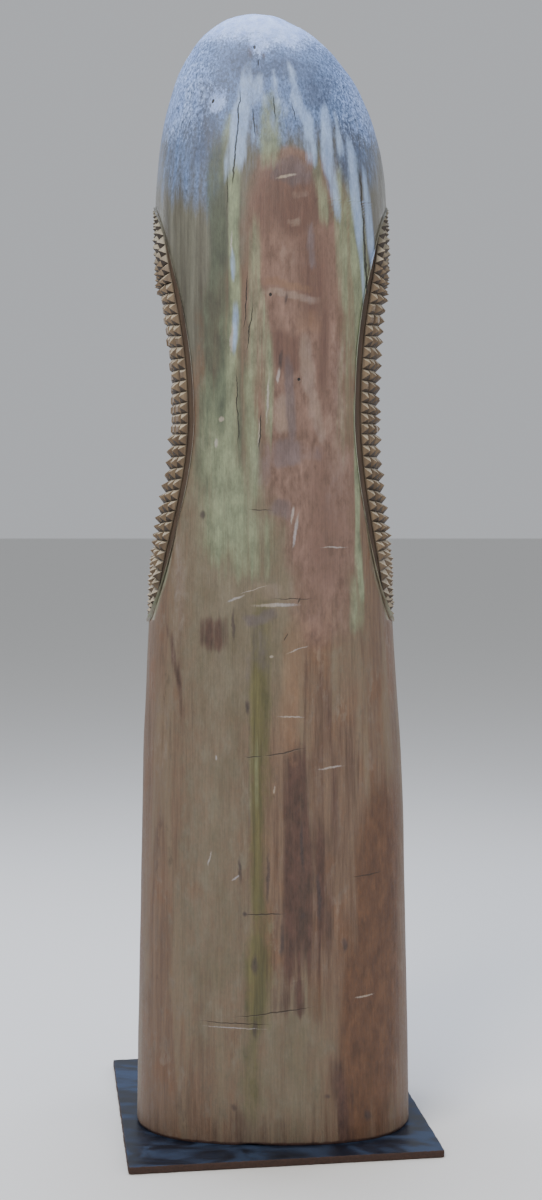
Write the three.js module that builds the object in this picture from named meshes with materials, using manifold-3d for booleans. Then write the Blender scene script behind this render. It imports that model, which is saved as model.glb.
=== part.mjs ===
// A tall slit drum carved from one log, standing on a square steel plate.
// Millimetres, +Z up. The slit and the face look towards -Y, the plain back towards +Y.
// The log is described in its own frame: h is the height above its foot and h = 0 is the
// middle of the foot, so the drum is placed by its mesh position.

import * as THREE from 'three';
import { LoftGeometry } from 'three/addons/geometries/LoftGeometry.js';
import { mergeVertices } from 'three/addons/utils/BufferGeometryUtils.js';
import Module from 'manifold-3d';

// base plate
const PLATE_SIDE = 500;
const PLATE_THICKNESS = 12;
const PLATE_TURN = 7.9;
const DRUM_OFFSET_X = -10;

// the log, by stations of height and size
const LOG_HEIGHT = 1803;
const DOME_START = 1440;
const DOME_SPRING = 2.5;
const HALF_WIDTH = [
  [0, 228], [300, 221.5], [600, 213], [830, 200], [1000, 195], [1300, 191], [DOME_START, 188],
];
const BACK_Y = [[0, 196], [600, 192], [1150, 182], [DOME_START, 184]];
const FRONT_Y = [[0, -196], [600, -192], [1150, -176], [DOME_START, -172]];
const WIDEST_Y = 46;
const APEX_Y = 30;
const AXIS_X = [[0, 0], [500, 0], [860, 4], [1130, -2], [1450, 3], [DOME_START + 60, 4]];
const APEX_LEAN = 26;
const APEX_LEAN_BEND = 2.1;
const LEAN_START = 1500;
const BACK_FULLNESS = 2.6;
const DOME_FULLNESS = 2.2;
const FRONT_FULLNESS = 2.4;
const BODY_STEPS = 5;
const BODY_STEPS_TOP = 720;
const HEAD_STEPS = 8;
const DOME_STEPS = 9;
const DOME_TIP_TURN = Math.PI * 0.495;

// the scalloped back panel of the head: narrowest at the waist, out to the log's sides at both ends
const WAIST_H = 1150;
const WAIST_HALF = 128;
const PANEL_FOOT_H = 829;
const PANEL_FOOT_HALF = 200;
const PANEL_FOOT_FLARE = 1.6;
const PANEL_TOP_H = 1490;
const PANEL_TOP_HALF = 188;
const PANEL_TOP_FLARE = 2;
const PANEL_STEPS = 14;

// the sunk field that carries the studs and the face
const FIELD_SINK = 8;
const FIELD_PINCH = 23.5;
const FIELD_PINCH_H = 1165;
const FIELD_PINCH_REACH = 175;
const FIELD_DISH = 10;
const FIELD_DISH_REACH = 245;
const FIELD_WIDEST_Y = [
  [715, 46], [829, 60], [930, 82], [1000, 86], [1370, 86], [1440, 72], [1490, 58], [1650, 40],
];
const FIELD_BACK_DEPTH = 105;
const FIELD_BACK_LIMIT = 156;
const FIELD_FOOT_H = 715;
const FIELD_HEAD_H = 1650;
const FIELD_STEPS = 18;
const BROW_ARCH_HALF = 180;
const BROW_ARCH_RISE = 100;
const CHIN_ARCH_HALF = 191;
const CHIN_ARCH_DROP = 88;
const ARCH_FULLNESS = 2.5;
const ARCH_CLOSING = 0.53;
const ARCH_PART = 0.93;
const ARCH_STEPS = 5;
const ARCH_CUT_STEPS = 16;
const CORNER_ROUND = 30;
const SIDE_STEPS = 9;

// the band of studs round the field
const STUD_PITCH = 17;
const STUD_COLUMNS = 4;
const STUD_HEIGHT = 9;
const STUD_ROOT = 1.2;
const STUD_BED = 14;
const BAND_MARGIN = 12;
const NORMAL_REACH = 4;
const UNROLLED_POINTS = 240;

// chamber and slit
const WALL = 58;
const CHAMBER_FOOT_H = 95;
const CHAMBER_HEAD_H = 705;
const CHAMBER_STEPS = 10;
const CHAMBER_COLUMNS = 32;
const CHAMBER_END_SHARE = 0.35;
const CHAMBER_ROUNDING = 4;
const CHAMBER_SPAN = 0.999;
const SLIT_WIDTH = 64;
const SLIT_FOOT_H = 130;
const SLIT_HEAD_H = 655;

// the face, on heights above the log's foot: a long oval that swells out of the field
const FACE_HALF_WIDTH = 124;
const FACE_WIDEST_H = 1215;
const FACE_UP = 252;
const FACE_DOWN = 370;
const FACE_FULLNESS_UP = 2.4;
const FACE_FULLNESS_DOWN = 2.1;
const FACE_RISE = [
  [845, 2], [880, 20], [950, 24], [1080, 20], [1210, 14], [1340, 13], [1430, 5], [1467, 0],
];
const FACE_ROOT = 42;
const FACE_FULLNESS = 2.2;
const FACE_COLUMNS = 24;
const FACE_STEPS_DOWN = 6;
const FACE_STEPS_UP = 4;
const FACE_PART_DOWN = 0.88;
const FACE_PART_UP = 0.86;
const EYE_H = 1212;
const EYE_SPREAD = 60;
const EYE_RADII = [36, 15, 19];
const NOSE_TOP_H = 1286;
const NOSE_FOOT_H = 1092;
const NOSE_HALF_WIDTHS = [12, 32];
const NOSE_RISES = [8, 42];
const NOSE_PROFILE = [[-1, 0], [-0.75, 0.6], [-0.3, 1], [0.3, 1], [0.75, 0.6], [1, 0]];
const NOSE_ROOT = 20;
const NOSE_STEPS = 4;
const MOUTH_H = 1010;
const UPPER_LIP_RADII = [44, 15, 11];
const LOWER_LIP_RADII = [37, 15, 11];
const LIP_LIFT = 10;
const BROW_SPAN = 50;
const BROW_RISE = 40;
const BROW_H = 1224;
const BROW_END = 0.9;
const BROW_STEPS = 6;
const BROW_SIDES = 6;
const BROW_RADII = [4, 10];

// sides of the log's sections, and how far the cutting shapes reach beyond the log
const COLUMNS = 40;
const BEYOND = 400;

const wasm = await Module();
wasm.setup();

// Smooth curve through stations [position, value], level beyond its ends.
function through(stations, at) {
  const last = stations.length - 1;
  const x = THREE.MathUtils.clamp(at, stations[0][0], stations[last][0]);
  let i = 0;
  while (i < last - 1 && x > stations[i + 1][0]) {
    i += 1;
  }
  const slope = (k) => {
    const from = stations[Math.max(k - 1, 0)];
    const to = stations[Math.min(k + 1, last)];
    return (to[1] - from[1]) / (to[0] - from[0]);
  };
  const [x0, y0] = stations[i];
  const [x1, y1] = stations[i + 1];
  const span = x1 - x0;
  const t = (x - x0) / span;
  const rise = t * t * (3 - 2 * t);
  return y0 * (1 - rise) + y1 * rise
    + span * t * (1 - t) * ((1 - t) * slope(i) - t * slope(i + 1));
}

// How far the dome has closed: 1 below its spring line and 0 at the apex.
function dome(h) {
  const t = Math.max(h - DOME_START, 0) / (LOG_HEIGHT - DOME_START);
  return Math.sqrt(1 - Math.min(t, 1) ** DOME_SPRING);
}

function axisX(h) {
  const lean = Math.max(h - LEAN_START, 0) / (LOG_HEIGHT - LEAN_START);
  return through(AXIS_X, h) + APEX_LEAN * lean ** APEX_LEAN_BEND;
}

function logHalfWidth(h) {
  return through(HALF_WIDTH, h) * dome(h);
}

// One closed section at height h, anticlockwise from above, of a body that is a superellipse
// of its own depth and fullness in front of its widest line and behind it.
function section(h, body, count = COLUMNS) {
  const points = [];
  for (let i = 0; i < count; i += 1) {
    const angle = (i / count) * Math.PI * 2;
    const c = Math.cos(angle);
    const s = Math.sin(angle);
    const fullness = s > 0 ? body.backFullness : body.frontFullness;
    const depth = s > 0 ? body.backDepth : body.frontDepth;
    const x = Math.sign(c) * Math.abs(c) ** (2 / fullness) * body.halfWidth;
    const y = Math.sign(s) * Math.abs(s) ** (2 / fullness) * depth;
    points.push(new THREE.Vector3(axisX(h) + x, Math.min(body.widestY + y, body.backLimit), h));
  }
  return points;
}

// The whole log: a body that tapers slowly and a dome that closes and leans.
function logBody(h, inset = 0) {
  const close = dome(h);
  const up = THREE.MathUtils.smoothstep(h, DOME_START, LOG_HEIGHT);
  const widestY = THREE.MathUtils.lerp(WIDEST_Y, APEX_Y, up);
  return {
    halfWidth: logHalfWidth(h) - inset,
    widestY,
    backDepth: (through(BACK_Y, h) - WIDEST_Y) * close - inset,
    frontDepth: (WIDEST_Y - through(FRONT_Y, h)) * close - inset,
    backFullness: THREE.MathUtils.lerp(BACK_FULLNESS, DOME_FULLNESS, up),
    frontFullness: FRONT_FULLNESS,
    backLimit: Infinity,
  };
}

// The sunk field: pinched at the waist, with round shoulders behind and a dished front.
function fieldBody(h) {
  const close = dome(h);
  const near = (reach) => Math.exp(-(Math.abs((h - FIELD_PINCH_H) / reach) ** 3));
  const widestY = through(FIELD_WIDEST_Y, h);
  const front = WIDEST_Y - (WIDEST_Y - through(FRONT_Y, h)) * close;
  const dished = front + FIELD_SINK + FIELD_DISH * near(FIELD_DISH_REACH);
  return {
    halfWidth: logHalfWidth(h) - FIELD_SINK - FIELD_PINCH * near(FIELD_PINCH_REACH),
    widestY,
    backDepth: FIELD_BACK_DEPTH * close,
    frontDepth: widestY - dished,
    backFullness: 2,
    frontFullness: FRONT_FULLNESS,
    backLimit: FIELD_BACK_LIMIT,
  };
}

// Half-width of the back panel between its sharp edges.
function panelHalfWidth(h) {
  if (h < WAIST_H) {
    const down = (WAIST_H - h) / (WAIST_H - PANEL_FOOT_H);
    return WAIST_HALF + (PANEL_FOOT_HALF - WAIST_HALF) * down ** PANEL_FOOT_FLARE;
  }
  const up = (h - WAIST_H) / (PANEL_TOP_H - WAIST_H);
  return WAIST_HALF + (PANEL_TOP_HALF - WAIST_HALF) * up ** PANEL_TOP_FLARE;
}

// Height of the field's edge over the brow (rise > 0) or under the chin (rise < 0),
// at a distance x from the middle.
function archHeight(x, springH, half, rise) {
  const reach = Math.min(Math.abs(x) / half, 1);
  return springH + rise * (1 - reach ** ARCH_FULLNESS) ** ARCH_CLOSING;
}

function browArch(x) {
  return archHeight(x, PANEL_TOP_H, BROW_ARCH_HALF, BROW_ARCH_RISE);
}

function chinArch(x) {
  return archHeight(x, PANEL_FOOT_H, CHIN_ARCH_HALF, -CHIN_ARCH_DROP);
}

function solid(geometry) {
  const bare = new THREE.BufferGeometry();
  bare.setAttribute('position', geometry.getAttribute('position'));
  bare.setIndex(geometry.getIndex());
  const merged = mergeVertices(bare, 1e-4);
  return new wasm.Manifold(new wasm.Mesh({
    numProp: 3,
    vertProperties: new Float32Array(merged.attributes.position.array),
    triVerts: new Uint32Array(merged.index.array),
  }));
}

function fromSolid(manifold) {
  const mesh = manifold.getMesh();
  const geometry = new THREE.BufferGeometry();
  geometry.setAttribute('position', new THREE.BufferAttribute(new Float32Array(mesh.vertProperties), 3));
  geometry.setIndex(new THREE.BufferAttribute(new Uint32Array(mesh.triVerts), 1));
  geometry.computeVertexNormals();
  return geometry;
}

function loft(heights, body, count) {
  const sections = heights.map((h) => section(h, body(h), count));
  return solid(new LoftGeometry(sections, { capStart: true, capEnd: true }));
}

function evenly(from, to, steps) {
  return Array.from({ length: steps + 1 }, (_, i) => from + ((to - from) * i) / steps);
}

// A flat outline in X and Z, carried along Y from yFrom to yTo.
function slabAlongY(outline, yFrom, yTo) {
  const geometry = new THREE.ExtrudeGeometry(new THREE.Shape(outline), {
    depth: yTo - yFrom,
    bevelEnabled: false,
    curveSegments: 10,
  });
  geometry.rotateX(Math.PI / 2);
  geometry.translate(0, yTo, 0);
  return solid(geometry);
}

function wholeLog() {
  const domeHeights = evenly(0, DOME_TIP_TURN, DOME_STEPS)
    .slice(1)
    .map((turn) => DOME_START + (LOG_HEIGHT - DOME_START) * Math.sin(turn));
  const heights = [
    ...evenly(0, BODY_STEPS_TOP, BODY_STEPS),
    ...evenly(PANEL_FOOT_H, DOME_START, HEAD_STEPS),
    ...domeHeights,
  ];
  return loft(heights, logBody);
}

// Everything beside the back panel, one side of it.
function panelFlankCut(side) {
  const outline = evenly(PANEL_FOOT_H, PANEL_TOP_H, PANEL_STEPS)
    .map((h) => new THREE.Vector2(axisX(h) + side * panelHalfWidth(h), h));
  outline.push(new THREE.Vector2(side * BEYOND, PANEL_TOP_H));
  outline.push(new THREE.Vector2(side * BEYOND, PANEL_FOOT_H));
  return slabAlongY(outline, WIDEST_Y, BEYOND);
}

// Everything in front of the widest line, between the brow arch and the chin arch.
function fieldFrontCut() {
  const across = (half) => evenly(0, Math.PI, ARCH_CUT_STEPS).map((a) => -half * Math.cos(a));
  const outline = [new THREE.Vector2(-BEYOND, PANEL_FOOT_H)];
  for (const x of across(CHIN_ARCH_HALF)) {
    outline.push(new THREE.Vector2(axisX(PANEL_FOOT_H) + x, chinArch(x)));
  }
  outline.push(new THREE.Vector2(BEYOND, PANEL_FOOT_H));
  outline.push(new THREE.Vector2(BEYOND, PANEL_TOP_H));
  for (const x of across(BROW_ARCH_HALF).reverse()) {
    outline.push(new THREE.Vector2(axisX(PANEL_TOP_H) + x, browArch(x)));
  }
  outline.push(new THREE.Vector2(-BEYOND, PANEL_TOP_H));
  return slabAlongY(outline, -BEYOND, WIDEST_Y);
}

// The field's section at height h unrolled: half of it, from the middle of the front (s = 0)
// round the widest line to the middle of the back, with the running length at each point.
function unrolledHalf(h) {
  const ring = section(h, fieldBody(h), UNROLLED_POINTS);
  const frontMiddle = (UNROLLED_POINTS * 3) / 4;
  const half = UNROLLED_POINTS / 2;
  const points = evenly(0, half, half).map((i) => ring[(frontMiddle + i) % UNROLLED_POINTS]);
  const lengths = [0];
  for (let i = 1; i < points.length; i += 1) {
    lengths.push(lengths[i - 1] + points[i].distanceTo(points[i - 1]));
  }
  return { points, lengths };
}

// Point of the field at the signed length s from the middle of the front, at height h.
function fieldPoint(s, h) {
  const { points, lengths } = unrolledHalf(h);
  const away = Math.min(Math.abs(s), lengths[lengths.length - 1] - 1e-3);
  let i = 0;
  while (lengths[i + 1] < away) {
    i += 1;
  }
  const t = (away - lengths[i]) / (lengths[i + 1] - lengths[i]);
  const point = points[i].clone().lerp(points[i + 1], t);
  if (s < 0) point.x = 2 * axisX(h) - point.x;
  return point;
}

// The same point raised by lift along the outward normal.
function liftedFieldPoint(s, h, lift) {
  const alongS = fieldPoint(s + NORMAL_REACH, h).sub(fieldPoint(s - NORMAL_REACH, h));
  const alongH = fieldPoint(s, h + NORMAL_REACH).sub(fieldPoint(s, h - NORMAL_REACH));
  const normal = alongS.cross(alongH).normalize();
  return fieldPoint(s, h).addScaledVector(normal, lift);
}

// Length s at which the half section at height h stands x from the axis, in front or behind.
function lengthAt(x, h, behind) {
  const { points, lengths } = unrolledHalf(h);
  const middle = (points.length - 1) / 2;
  const last = behind ? points.length - 1 : middle;
  const short = (point) => (behind ? point.x - axisX(h) > x : point.x - axisX(h) < x);
  let i = behind ? middle : 0;
  while (i < last && short(points[i])) {
    i += 1;
  }
  return lengths[i];
}

// The field's edge in the unrolled plane, from under the chin up the side and over the brow.
function fieldEdge() {
  const edge = [];
  const arch = evenly(0, ARCH_PART, ARCH_STEPS);
  for (const part of arch) {
    const x = CHIN_ARCH_HALF * part;
    edge.push(new THREE.Vector2(lengthAt(x, chinArch(x), false), chinArch(x)));
  }
  for (const h of evenly(PANEL_FOOT_H + CORNER_ROUND, PANEL_TOP_H - CORNER_ROUND, SIDE_STEPS)) {
    edge.push(new THREE.Vector2(lengthAt(panelHalfWidth(h), h, true), h));
  }
  for (const part of arch.reverse()) {
    const x = BROW_ARCH_HALF * part;
    edge.push(new THREE.Vector2(lengthAt(x, browArch(x), false), browArch(x)));
  }
  return new THREE.SplineCurve(edge);
}

// One closed strip of four-sided studs just inside the field's edge. Each stud is a cell of a
// grid, with its four faces meeting at a raised point.
function studBand() {
  const edge = fieldEdge();
  const rows = Math.round(edge.getLength() / STUD_PITCH);
  const half = edge.getSpacedPoints(rows).map((point, i, all) => {
    const before = i > 0 ? all[i - 1] : new THREE.Vector2(-all[1].x, all[1].y);
    const after = i < rows ? all[i + 1] : new THREE.Vector2(-all[rows - 1].x, all[rows - 1].y);
    const along = after.clone().sub(before).normalize();
    return { point, inward: new THREE.Vector2(-along.y, along.x) };
  });
  const mirrored = half.slice(1, rows).reverse().map(({ point, inward }) => ({
    point: new THREE.Vector2(-point.x, point.y),
    inward: new THREE.Vector2(-inward.x, inward.y),
  }));
  const ring = [...half, ...mirrored];
  const place = (row, column, lift) => {
    const { point, inward } = ring[row % ring.length];
    const flat = point.clone().addScaledVector(inward, BAND_MARGIN + column * STUD_PITCH);
    return liftedFieldPoint(flat.x, flat.y, lift);
  };

  const positions = [];
  const index = [];
  const stride = (STUD_COLUMNS + 1) + STUD_COLUMNS + 2;
  for (let row = 0; row < ring.length; row += 1) {
    for (let column = 0; column <= STUD_COLUMNS; column += 1) {
      positions.push(...place(row, column, STUD_ROOT).toArray());
    }
    for (let column = 0; column < STUD_COLUMNS; column += 1) {
      const corners = [[row, column], [row + 1, column], [row, column + 1], [row + 1, column + 1]];
      const tip = new THREE.Vector3();
      for (const [r, c] of corners) {
        tip.addScaledVector(place(r, c, STUD_HEIGHT), 1 / corners.length);
      }
      positions.push(...tip.toArray());
    }
    positions.push(...place(row, 0, -STUD_BED).toArray());
    positions.push(...place(row, STUD_COLUMNS, -STUD_BED).toArray());
  }
  const corner = (row, column) => (row % ring.length) * stride + column;
  const tip = (row, column) => corner(row, STUD_COLUMNS + 1 + column);
  const bed = (row, end) => corner(row, 2 * STUD_COLUMNS + 1 + end);
  const quad = (a, b, c, d) => index.push(a, b, c, a, c, d);
  for (let row = 0; row < ring.length; row += 1) {
    for (let column = 0; column < STUD_COLUMNS; column += 1) {
      const round = [
        corner(row, column), corner(row + 1, column),
        corner(row + 1, column + 1), corner(row, column + 1),
      ];
      for (let k = 0; k < round.length; k += 1) {
        index.push(round[k], round[(k + 1) % round.length], tip(row, column));
      }
    }
    quad(bed(row, 0), bed(row, 1), bed(row + 1, 1), bed(row + 1, 0));
    quad(corner(row, 0), bed(row, 0), bed(row + 1, 0), corner(row + 1, 0));
    quad(corner(row + 1, STUD_COLUMNS), bed(row + 1, 1), bed(row, 1), corner(row, STUD_COLUMNS));
  }
  const geometry = new THREE.BufferGeometry();
  geometry.setAttribute('position', new THREE.Float32BufferAttribute(positions, 3));
  geometry.setIndex(index);
  return solid(geometry);
}

// Where the front of the body stands at x from the axis and height h.
function frontY(body, x) {
  const reach = Math.min(Math.abs(x) / body.halfWidth, 1);
  const bulge = (1 - reach ** body.frontFullness) ** (1 / body.frontFullness);
  return body.widestY - body.frontDepth * bulge;
}

// The face is egg-shaped, closing to the forehead above and to a narrower chin below.
function faceHalfWidth(h) {
  const fullness = h > FACE_WIDEST_H ? FACE_FULLNESS_UP : FACE_FULLNESS_DOWN;
  const reach = Math.abs(h - FACE_WIDEST_H) / (h > FACE_WIDEST_H ? FACE_UP : FACE_DOWN);
  return FACE_HALF_WIDTH * (1 - Math.min(reach, 1) ** fullness) ** (1 / fullness);
}

function faceBody(h) {
  const root = frontY(fieldBody(h), 0) + FACE_ROOT;
  return {
    halfWidth: faceHalfWidth(h),
    widestY: root,
    backDepth: FACE_ROOT,
    frontDepth: FACE_ROOT + through(FACE_RISE, h),
    backFullness: 2,
    frontFullness: FACE_FULLNESS,
    backLimit: Infinity,
  };
}

// A low rounded form on the face: an ellipsoid sunk for two thirds of its depth.
function swelling(x, h, [rx, ry, rz]) {
  const geometry = new THREE.SphereGeometry(1, 12, 7);
  geometry.scale(rx, ry, rz);
  geometry.translate(axisX(h) + x, frontY(faceBody(h), x) + ry / 3, h);
  return solid(geometry);
}

function nose() {
  const sections = evenly(0, 1, NOSE_STEPS).map((t) => {
    const h = THREE.MathUtils.lerp(NOSE_FOOT_H, NOSE_TOP_H, t);
    const half = THREE.MathUtils.lerp(NOSE_HALF_WIDTHS[1], NOSE_HALF_WIDTHS[0], t);
    const rise = THREE.MathUtils.lerp(NOSE_RISES[1], NOSE_RISES[0], t);
    const y = frontY(faceBody(h), 0);
    const ridge = NOSE_PROFILE
      .map(([a, b]) => new THREE.Vector3(axisX(h) + a * half, y - b * rise, h));
    const root = [1, -1]
      .map((a) => new THREE.Vector3(axisX(h) + a * half, y + NOSE_ROOT, h));
    return [...ridge, ...root];
  });
  return solid(new LoftGeometry(sections, { capStart: true, capEnd: true }));
}

// A brow: a low round ridge that arches over one eye and thins out to both ends.
function brow(side) {
  const [endRadius, middleRadius] = BROW_RADII;
  const turns = evenly(0, Math.PI * 2, BROW_SIDES).slice(0, BROW_SIDES);
  const sections = evenly(-BROW_END, BROW_END, BROW_STEPS).map((part) => {
    const x = side * EYE_SPREAD + part * BROW_SPAN;
    const h = BROW_H + BROW_RISE * Math.sqrt(1 - part * part);
    const centre = new THREE.Vector3(axisX(h) + x, frontY(faceBody(h), x), h);
    const radius = THREE.MathUtils.lerp(middleRadius, endRadius, part * part);
    return turns.map((turn) => {
      const around = new THREE.Vector3(0, Math.cos(turn), Math.sin(turn));
      return centre.clone().addScaledVector(around, radius);
    });
  });
  return solid(new LoftGeometry(sections, { capStart: true, capEnd: true }));
}

function faceRelief() {
  const towardsEnd = (part) => Math.sin((part * Math.PI) / 2);
  const down = evenly(FACE_PART_DOWN, 0, FACE_STEPS_DOWN)
    .map((part) => FACE_WIDEST_H - FACE_DOWN * towardsEnd(part));
  const up = evenly(0, FACE_PART_UP, FACE_STEPS_UP)
    .map((part) => FACE_WIDEST_H + FACE_UP * towardsEnd(part));
  return [
    loft([...down, ...up.slice(1)], faceBody, FACE_COLUMNS),
    swelling(-EYE_SPREAD, EYE_H, EYE_RADII),
    swelling(EYE_SPREAD, EYE_H, EYE_RADII),
    swelling(0, MOUTH_H + LIP_LIFT, UPPER_LIP_RADII),
    swelling(0, MOUTH_H - LIP_LIFT, LOWER_LIP_RADII),
    brow(-1),
    brow(1),
    nose(),
  ];
}

// The hollow: the log's own shape less its wall, rounded off at the foot and the head.
function chamber() {
  const middle = (CHAMBER_FOOT_H + CHAMBER_HEAD_H) / 2;
  const reach = (CHAMBER_HEAD_H - CHAMBER_FOOT_H) / 2;
  const heights = evenly(-1, 1, CHAMBER_STEPS)
    .map((t) => middle + reach * CHAMBER_SPAN * Math.sin((t * Math.PI) / 2));
  return loft(heights, (h) => {
    const round = 1 - Math.abs((h - middle) / reach) ** CHAMBER_ROUNDING;
    const body = logBody(h, WALL);
    const shrink = THREE.MathUtils.lerp(CHAMBER_END_SHARE, 1, Math.sqrt(round));
    return {
      ...body,
      halfWidth: body.halfWidth * shrink,
      backDepth: body.backDepth * shrink,
      frontDepth: body.frontDepth * shrink,
    };
  }, CHAMBER_COLUMNS);
}

function slit() {
  const half = SLIT_WIDTH / 2;
  const outline = new THREE.Shape();
  outline.moveTo(half, SLIT_FOOT_H + half);
  outline.lineTo(half, SLIT_HEAD_H - half);
  outline.absarc(0, SLIT_HEAD_H - half, half, 0, Math.PI);
  outline.lineTo(-half, SLIT_FOOT_H + half);
  outline.absarc(0, SLIT_FOOT_H + half, half, Math.PI, Math.PI * 2);
  return slabAlongY(outline.getPoints(8), -BEYOND, 0);
}

function carvedDrum() {
  let drum = wholeLog();
  for (const cut of [panelFlankCut(-1), panelFlankCut(1), fieldFrontCut()]) {
    drum = drum.subtract(cut);
  }
  drum = drum.add(loft(evenly(FIELD_FOOT_H, FIELD_HEAD_H, FIELD_STEPS), fieldBody));
  drum = drum.add(studBand());
  for (const form of faceRelief()) {
    drum = drum.add(form);
  }
  drum = drum.subtract(chamber()).subtract(slit());
  return fromSolid(drum);
}

const agedWood = new THREE.MeshStandardMaterial({ color: 0x8d7a60, roughness: 0.8, metalness: 0 });
const darkSteel = new THREE.MeshStandardMaterial({ color: 0x2b3138, roughness: 0.45, metalness: 0.9 });

const plateShape = new THREE.BoxGeometry(PLATE_SIDE, PLATE_SIDE, PLATE_THICKNESS);
const basePlate = new THREE.Mesh(plateShape, darkSteel);
basePlate.name = 'base_plate';
basePlate.rotation.z = THREE.MathUtils.degToRad(PLATE_TURN);
basePlate.position.z = PLATE_THICKNESS / 2;

const drum = new THREE.Mesh(carvedDrum(), agedWood);
drum.name = 'drum';
drum.position.set(DRUM_OFFSET_X, 0, PLATE_THICKNESS);

const slitDrum = new THREE.Group();
slitDrum.add(basePlate, drum);

export default slitDrum;
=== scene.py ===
"""A tall slit drum carved from one log, on a square steel plate: its looks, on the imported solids.

Shapes are worked out in millimetres in the drum's own frame: x across, y from the slit side
(negative) to the plain back (positive), h up from the log's foot. h = 0 stands on the plate.
"""

import itertools

import bmesh
import bpy
import numpy as np
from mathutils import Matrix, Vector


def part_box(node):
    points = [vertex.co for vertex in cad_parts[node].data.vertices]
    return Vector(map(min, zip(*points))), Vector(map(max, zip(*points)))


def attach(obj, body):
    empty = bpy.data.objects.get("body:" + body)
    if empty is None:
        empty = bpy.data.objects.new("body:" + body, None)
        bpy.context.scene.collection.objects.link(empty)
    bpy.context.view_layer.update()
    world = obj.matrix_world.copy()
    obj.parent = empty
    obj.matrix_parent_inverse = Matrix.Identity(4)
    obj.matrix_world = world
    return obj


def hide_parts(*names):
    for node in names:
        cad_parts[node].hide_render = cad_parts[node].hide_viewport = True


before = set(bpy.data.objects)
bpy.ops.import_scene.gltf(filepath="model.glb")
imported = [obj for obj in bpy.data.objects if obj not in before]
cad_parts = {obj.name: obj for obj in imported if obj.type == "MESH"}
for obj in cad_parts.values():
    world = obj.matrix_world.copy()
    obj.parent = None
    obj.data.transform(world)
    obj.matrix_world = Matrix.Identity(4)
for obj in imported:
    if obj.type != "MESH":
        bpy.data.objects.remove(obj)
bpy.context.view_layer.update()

MM = 0.001
FOOT_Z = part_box("drum")[0][2] / MM
DRUM_X = -10.0

# the log, by stations of height and size
LOG_HEIGHT = 1803.0
DOME_START = 1440.0
DOME_SPRING = 2.5
HALF_WIDTH = [
    (0, 228), (300, 221.5), (600, 213), (830, 200), (1000, 195), (1300, 191), (1440, 188),
]
BACK_Y = [(0, 196), (600, 192), (1150, 182), (1440, 184)]
FRONT_Y = [(0, -196), (600, -192), (1150, -176), (1440, -172)]
AXIS_X = [(0, 0), (500, 0), (860, 4), (1130, -2), (1450, 3), (1500, 4)]
WIDEST_Y, APEX_Y = 46.0, 30.0
APEX_LEAN, APEX_LEAN_BEND, LEAN_START = 26.0, 2.1, 1500.0
BACK_FULLNESS, DOME_FULLNESS, FRONT_FULLNESS = 2.6, 2.2, 2.4

# the scalloped back panel of the head
WAIST_H, WAIST_HALF = 1150.0, 128.0
PANEL_FOOT_H, PANEL_FOOT_HALF, PANEL_FOOT_FLARE = 829.0, 200.0, 1.6
PANEL_TOP_H, PANEL_TOP_HALF, PANEL_TOP_FLARE = 1490.0, 188.0, 2.0

# the sunk field with the studs and the face
FIELD_SINK, FIELD_PINCH, FIELD_PINCH_H, FIELD_PINCH_REACH = 8.0, 23.5, 1165.0, 175.0
FIELD_DISH, FIELD_DISH_REACH = 10.0, 245.0
FIELD_WIDEST_Y = [
    (715, 46), (829, 60), (930, 82), (1000, 86), (1370, 86), (1440, 72), (1490, 58), (1650, 40),
]
FIELD_BACK_DEPTH, FIELD_BACK_LIMIT = 105.0, 156.0
BROW_ARCH_RISE, CHIN_ARCH_DROP = 100.0, 88.0
ARCH_FULLNESS, ARCH_CLOSING = 2.5, 0.53

# chamber and slit
WALL = 58.0
CHAMBER_FOOT_H, CHAMBER_HEAD_H, CHAMBER_END_SHARE = 95.0, 705.0, 0.35
SLIT_HALF, SLIT_FOOT_H, SLIT_HEAD_H, SLIT_END_HALF = 32.0, 130.0, 655.0, 10.0
SLIT_FADE_FROM, SLIT_FADE_TO = 700.0, 760.0

# the face
FACE_HALF_WIDTH, FACE_WIDEST_H, FACE_UP, FACE_DOWN = 124.0, 1215.0, 252.0, 370.0
FACE_RISE = [
    (845, 2), (880, 20), (950, 24), (1080, 20), (1210, 14), (1340, 13), (1430, 5), (1467, 0),
]
FACE_ROOT, FACE_FULLNESS, FACE_FULLNESS_UP, FACE_FULLNESS_DOWN = 42.0, 2.2, 2.4, 2.1
EYE_H, EYE_SPREAD, EYE_HALF_WIDTH, EYE_HALF_HEIGHT, EYE_RISE = 1212.0, 60.0, 36.0, 17.0, 10.0
HOLLOW_HALF_WIDTH, HOLLOW_HALF_HEIGHT, HOLLOW_DEPTH, HOLLOW_LIFT = 46.0, 30.0, 5.0, 4.0
BROW_SPAN, BROW_H, BROW_RISE, BROW_RADII = 54.0, 1224.0, 40.0, (4.0, 9.0)
NOSE_TOP_H, NOSE_FOOT_H, NOSE_HALF_WIDTHS, NOSE_RISES = 1286.0, 1092.0, (32.0, 12.0), (42.0, 8.0)
MOUTH_H, LIP_HALF_WIDTHS, LIP_HALF_HEIGHT = 1010.0, (44.0, 38.0), 12.5
LIP_LIFT, LIP_RISE = 11.5, 9.0
EYE_GROOVE, LID_LINE, MOUTH_GROOVE, WING_RISE, WING_X = 2.2, 1.8, 3.0, 7.0, 25.0

# the stud band
STUD_PITCH, STUD_COLUMNS, STUD_HEIGHT = 17.0, 4, 9.5
STUD_ROOT, STUD_BED, BAND_MARGIN = 1.0, 14.0, 12.0

# the plate
PLATE_SIDE, PLATE_THICKNESS, PLATE_TURN = 500.0, 12.0, np.radians(7.9)


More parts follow.
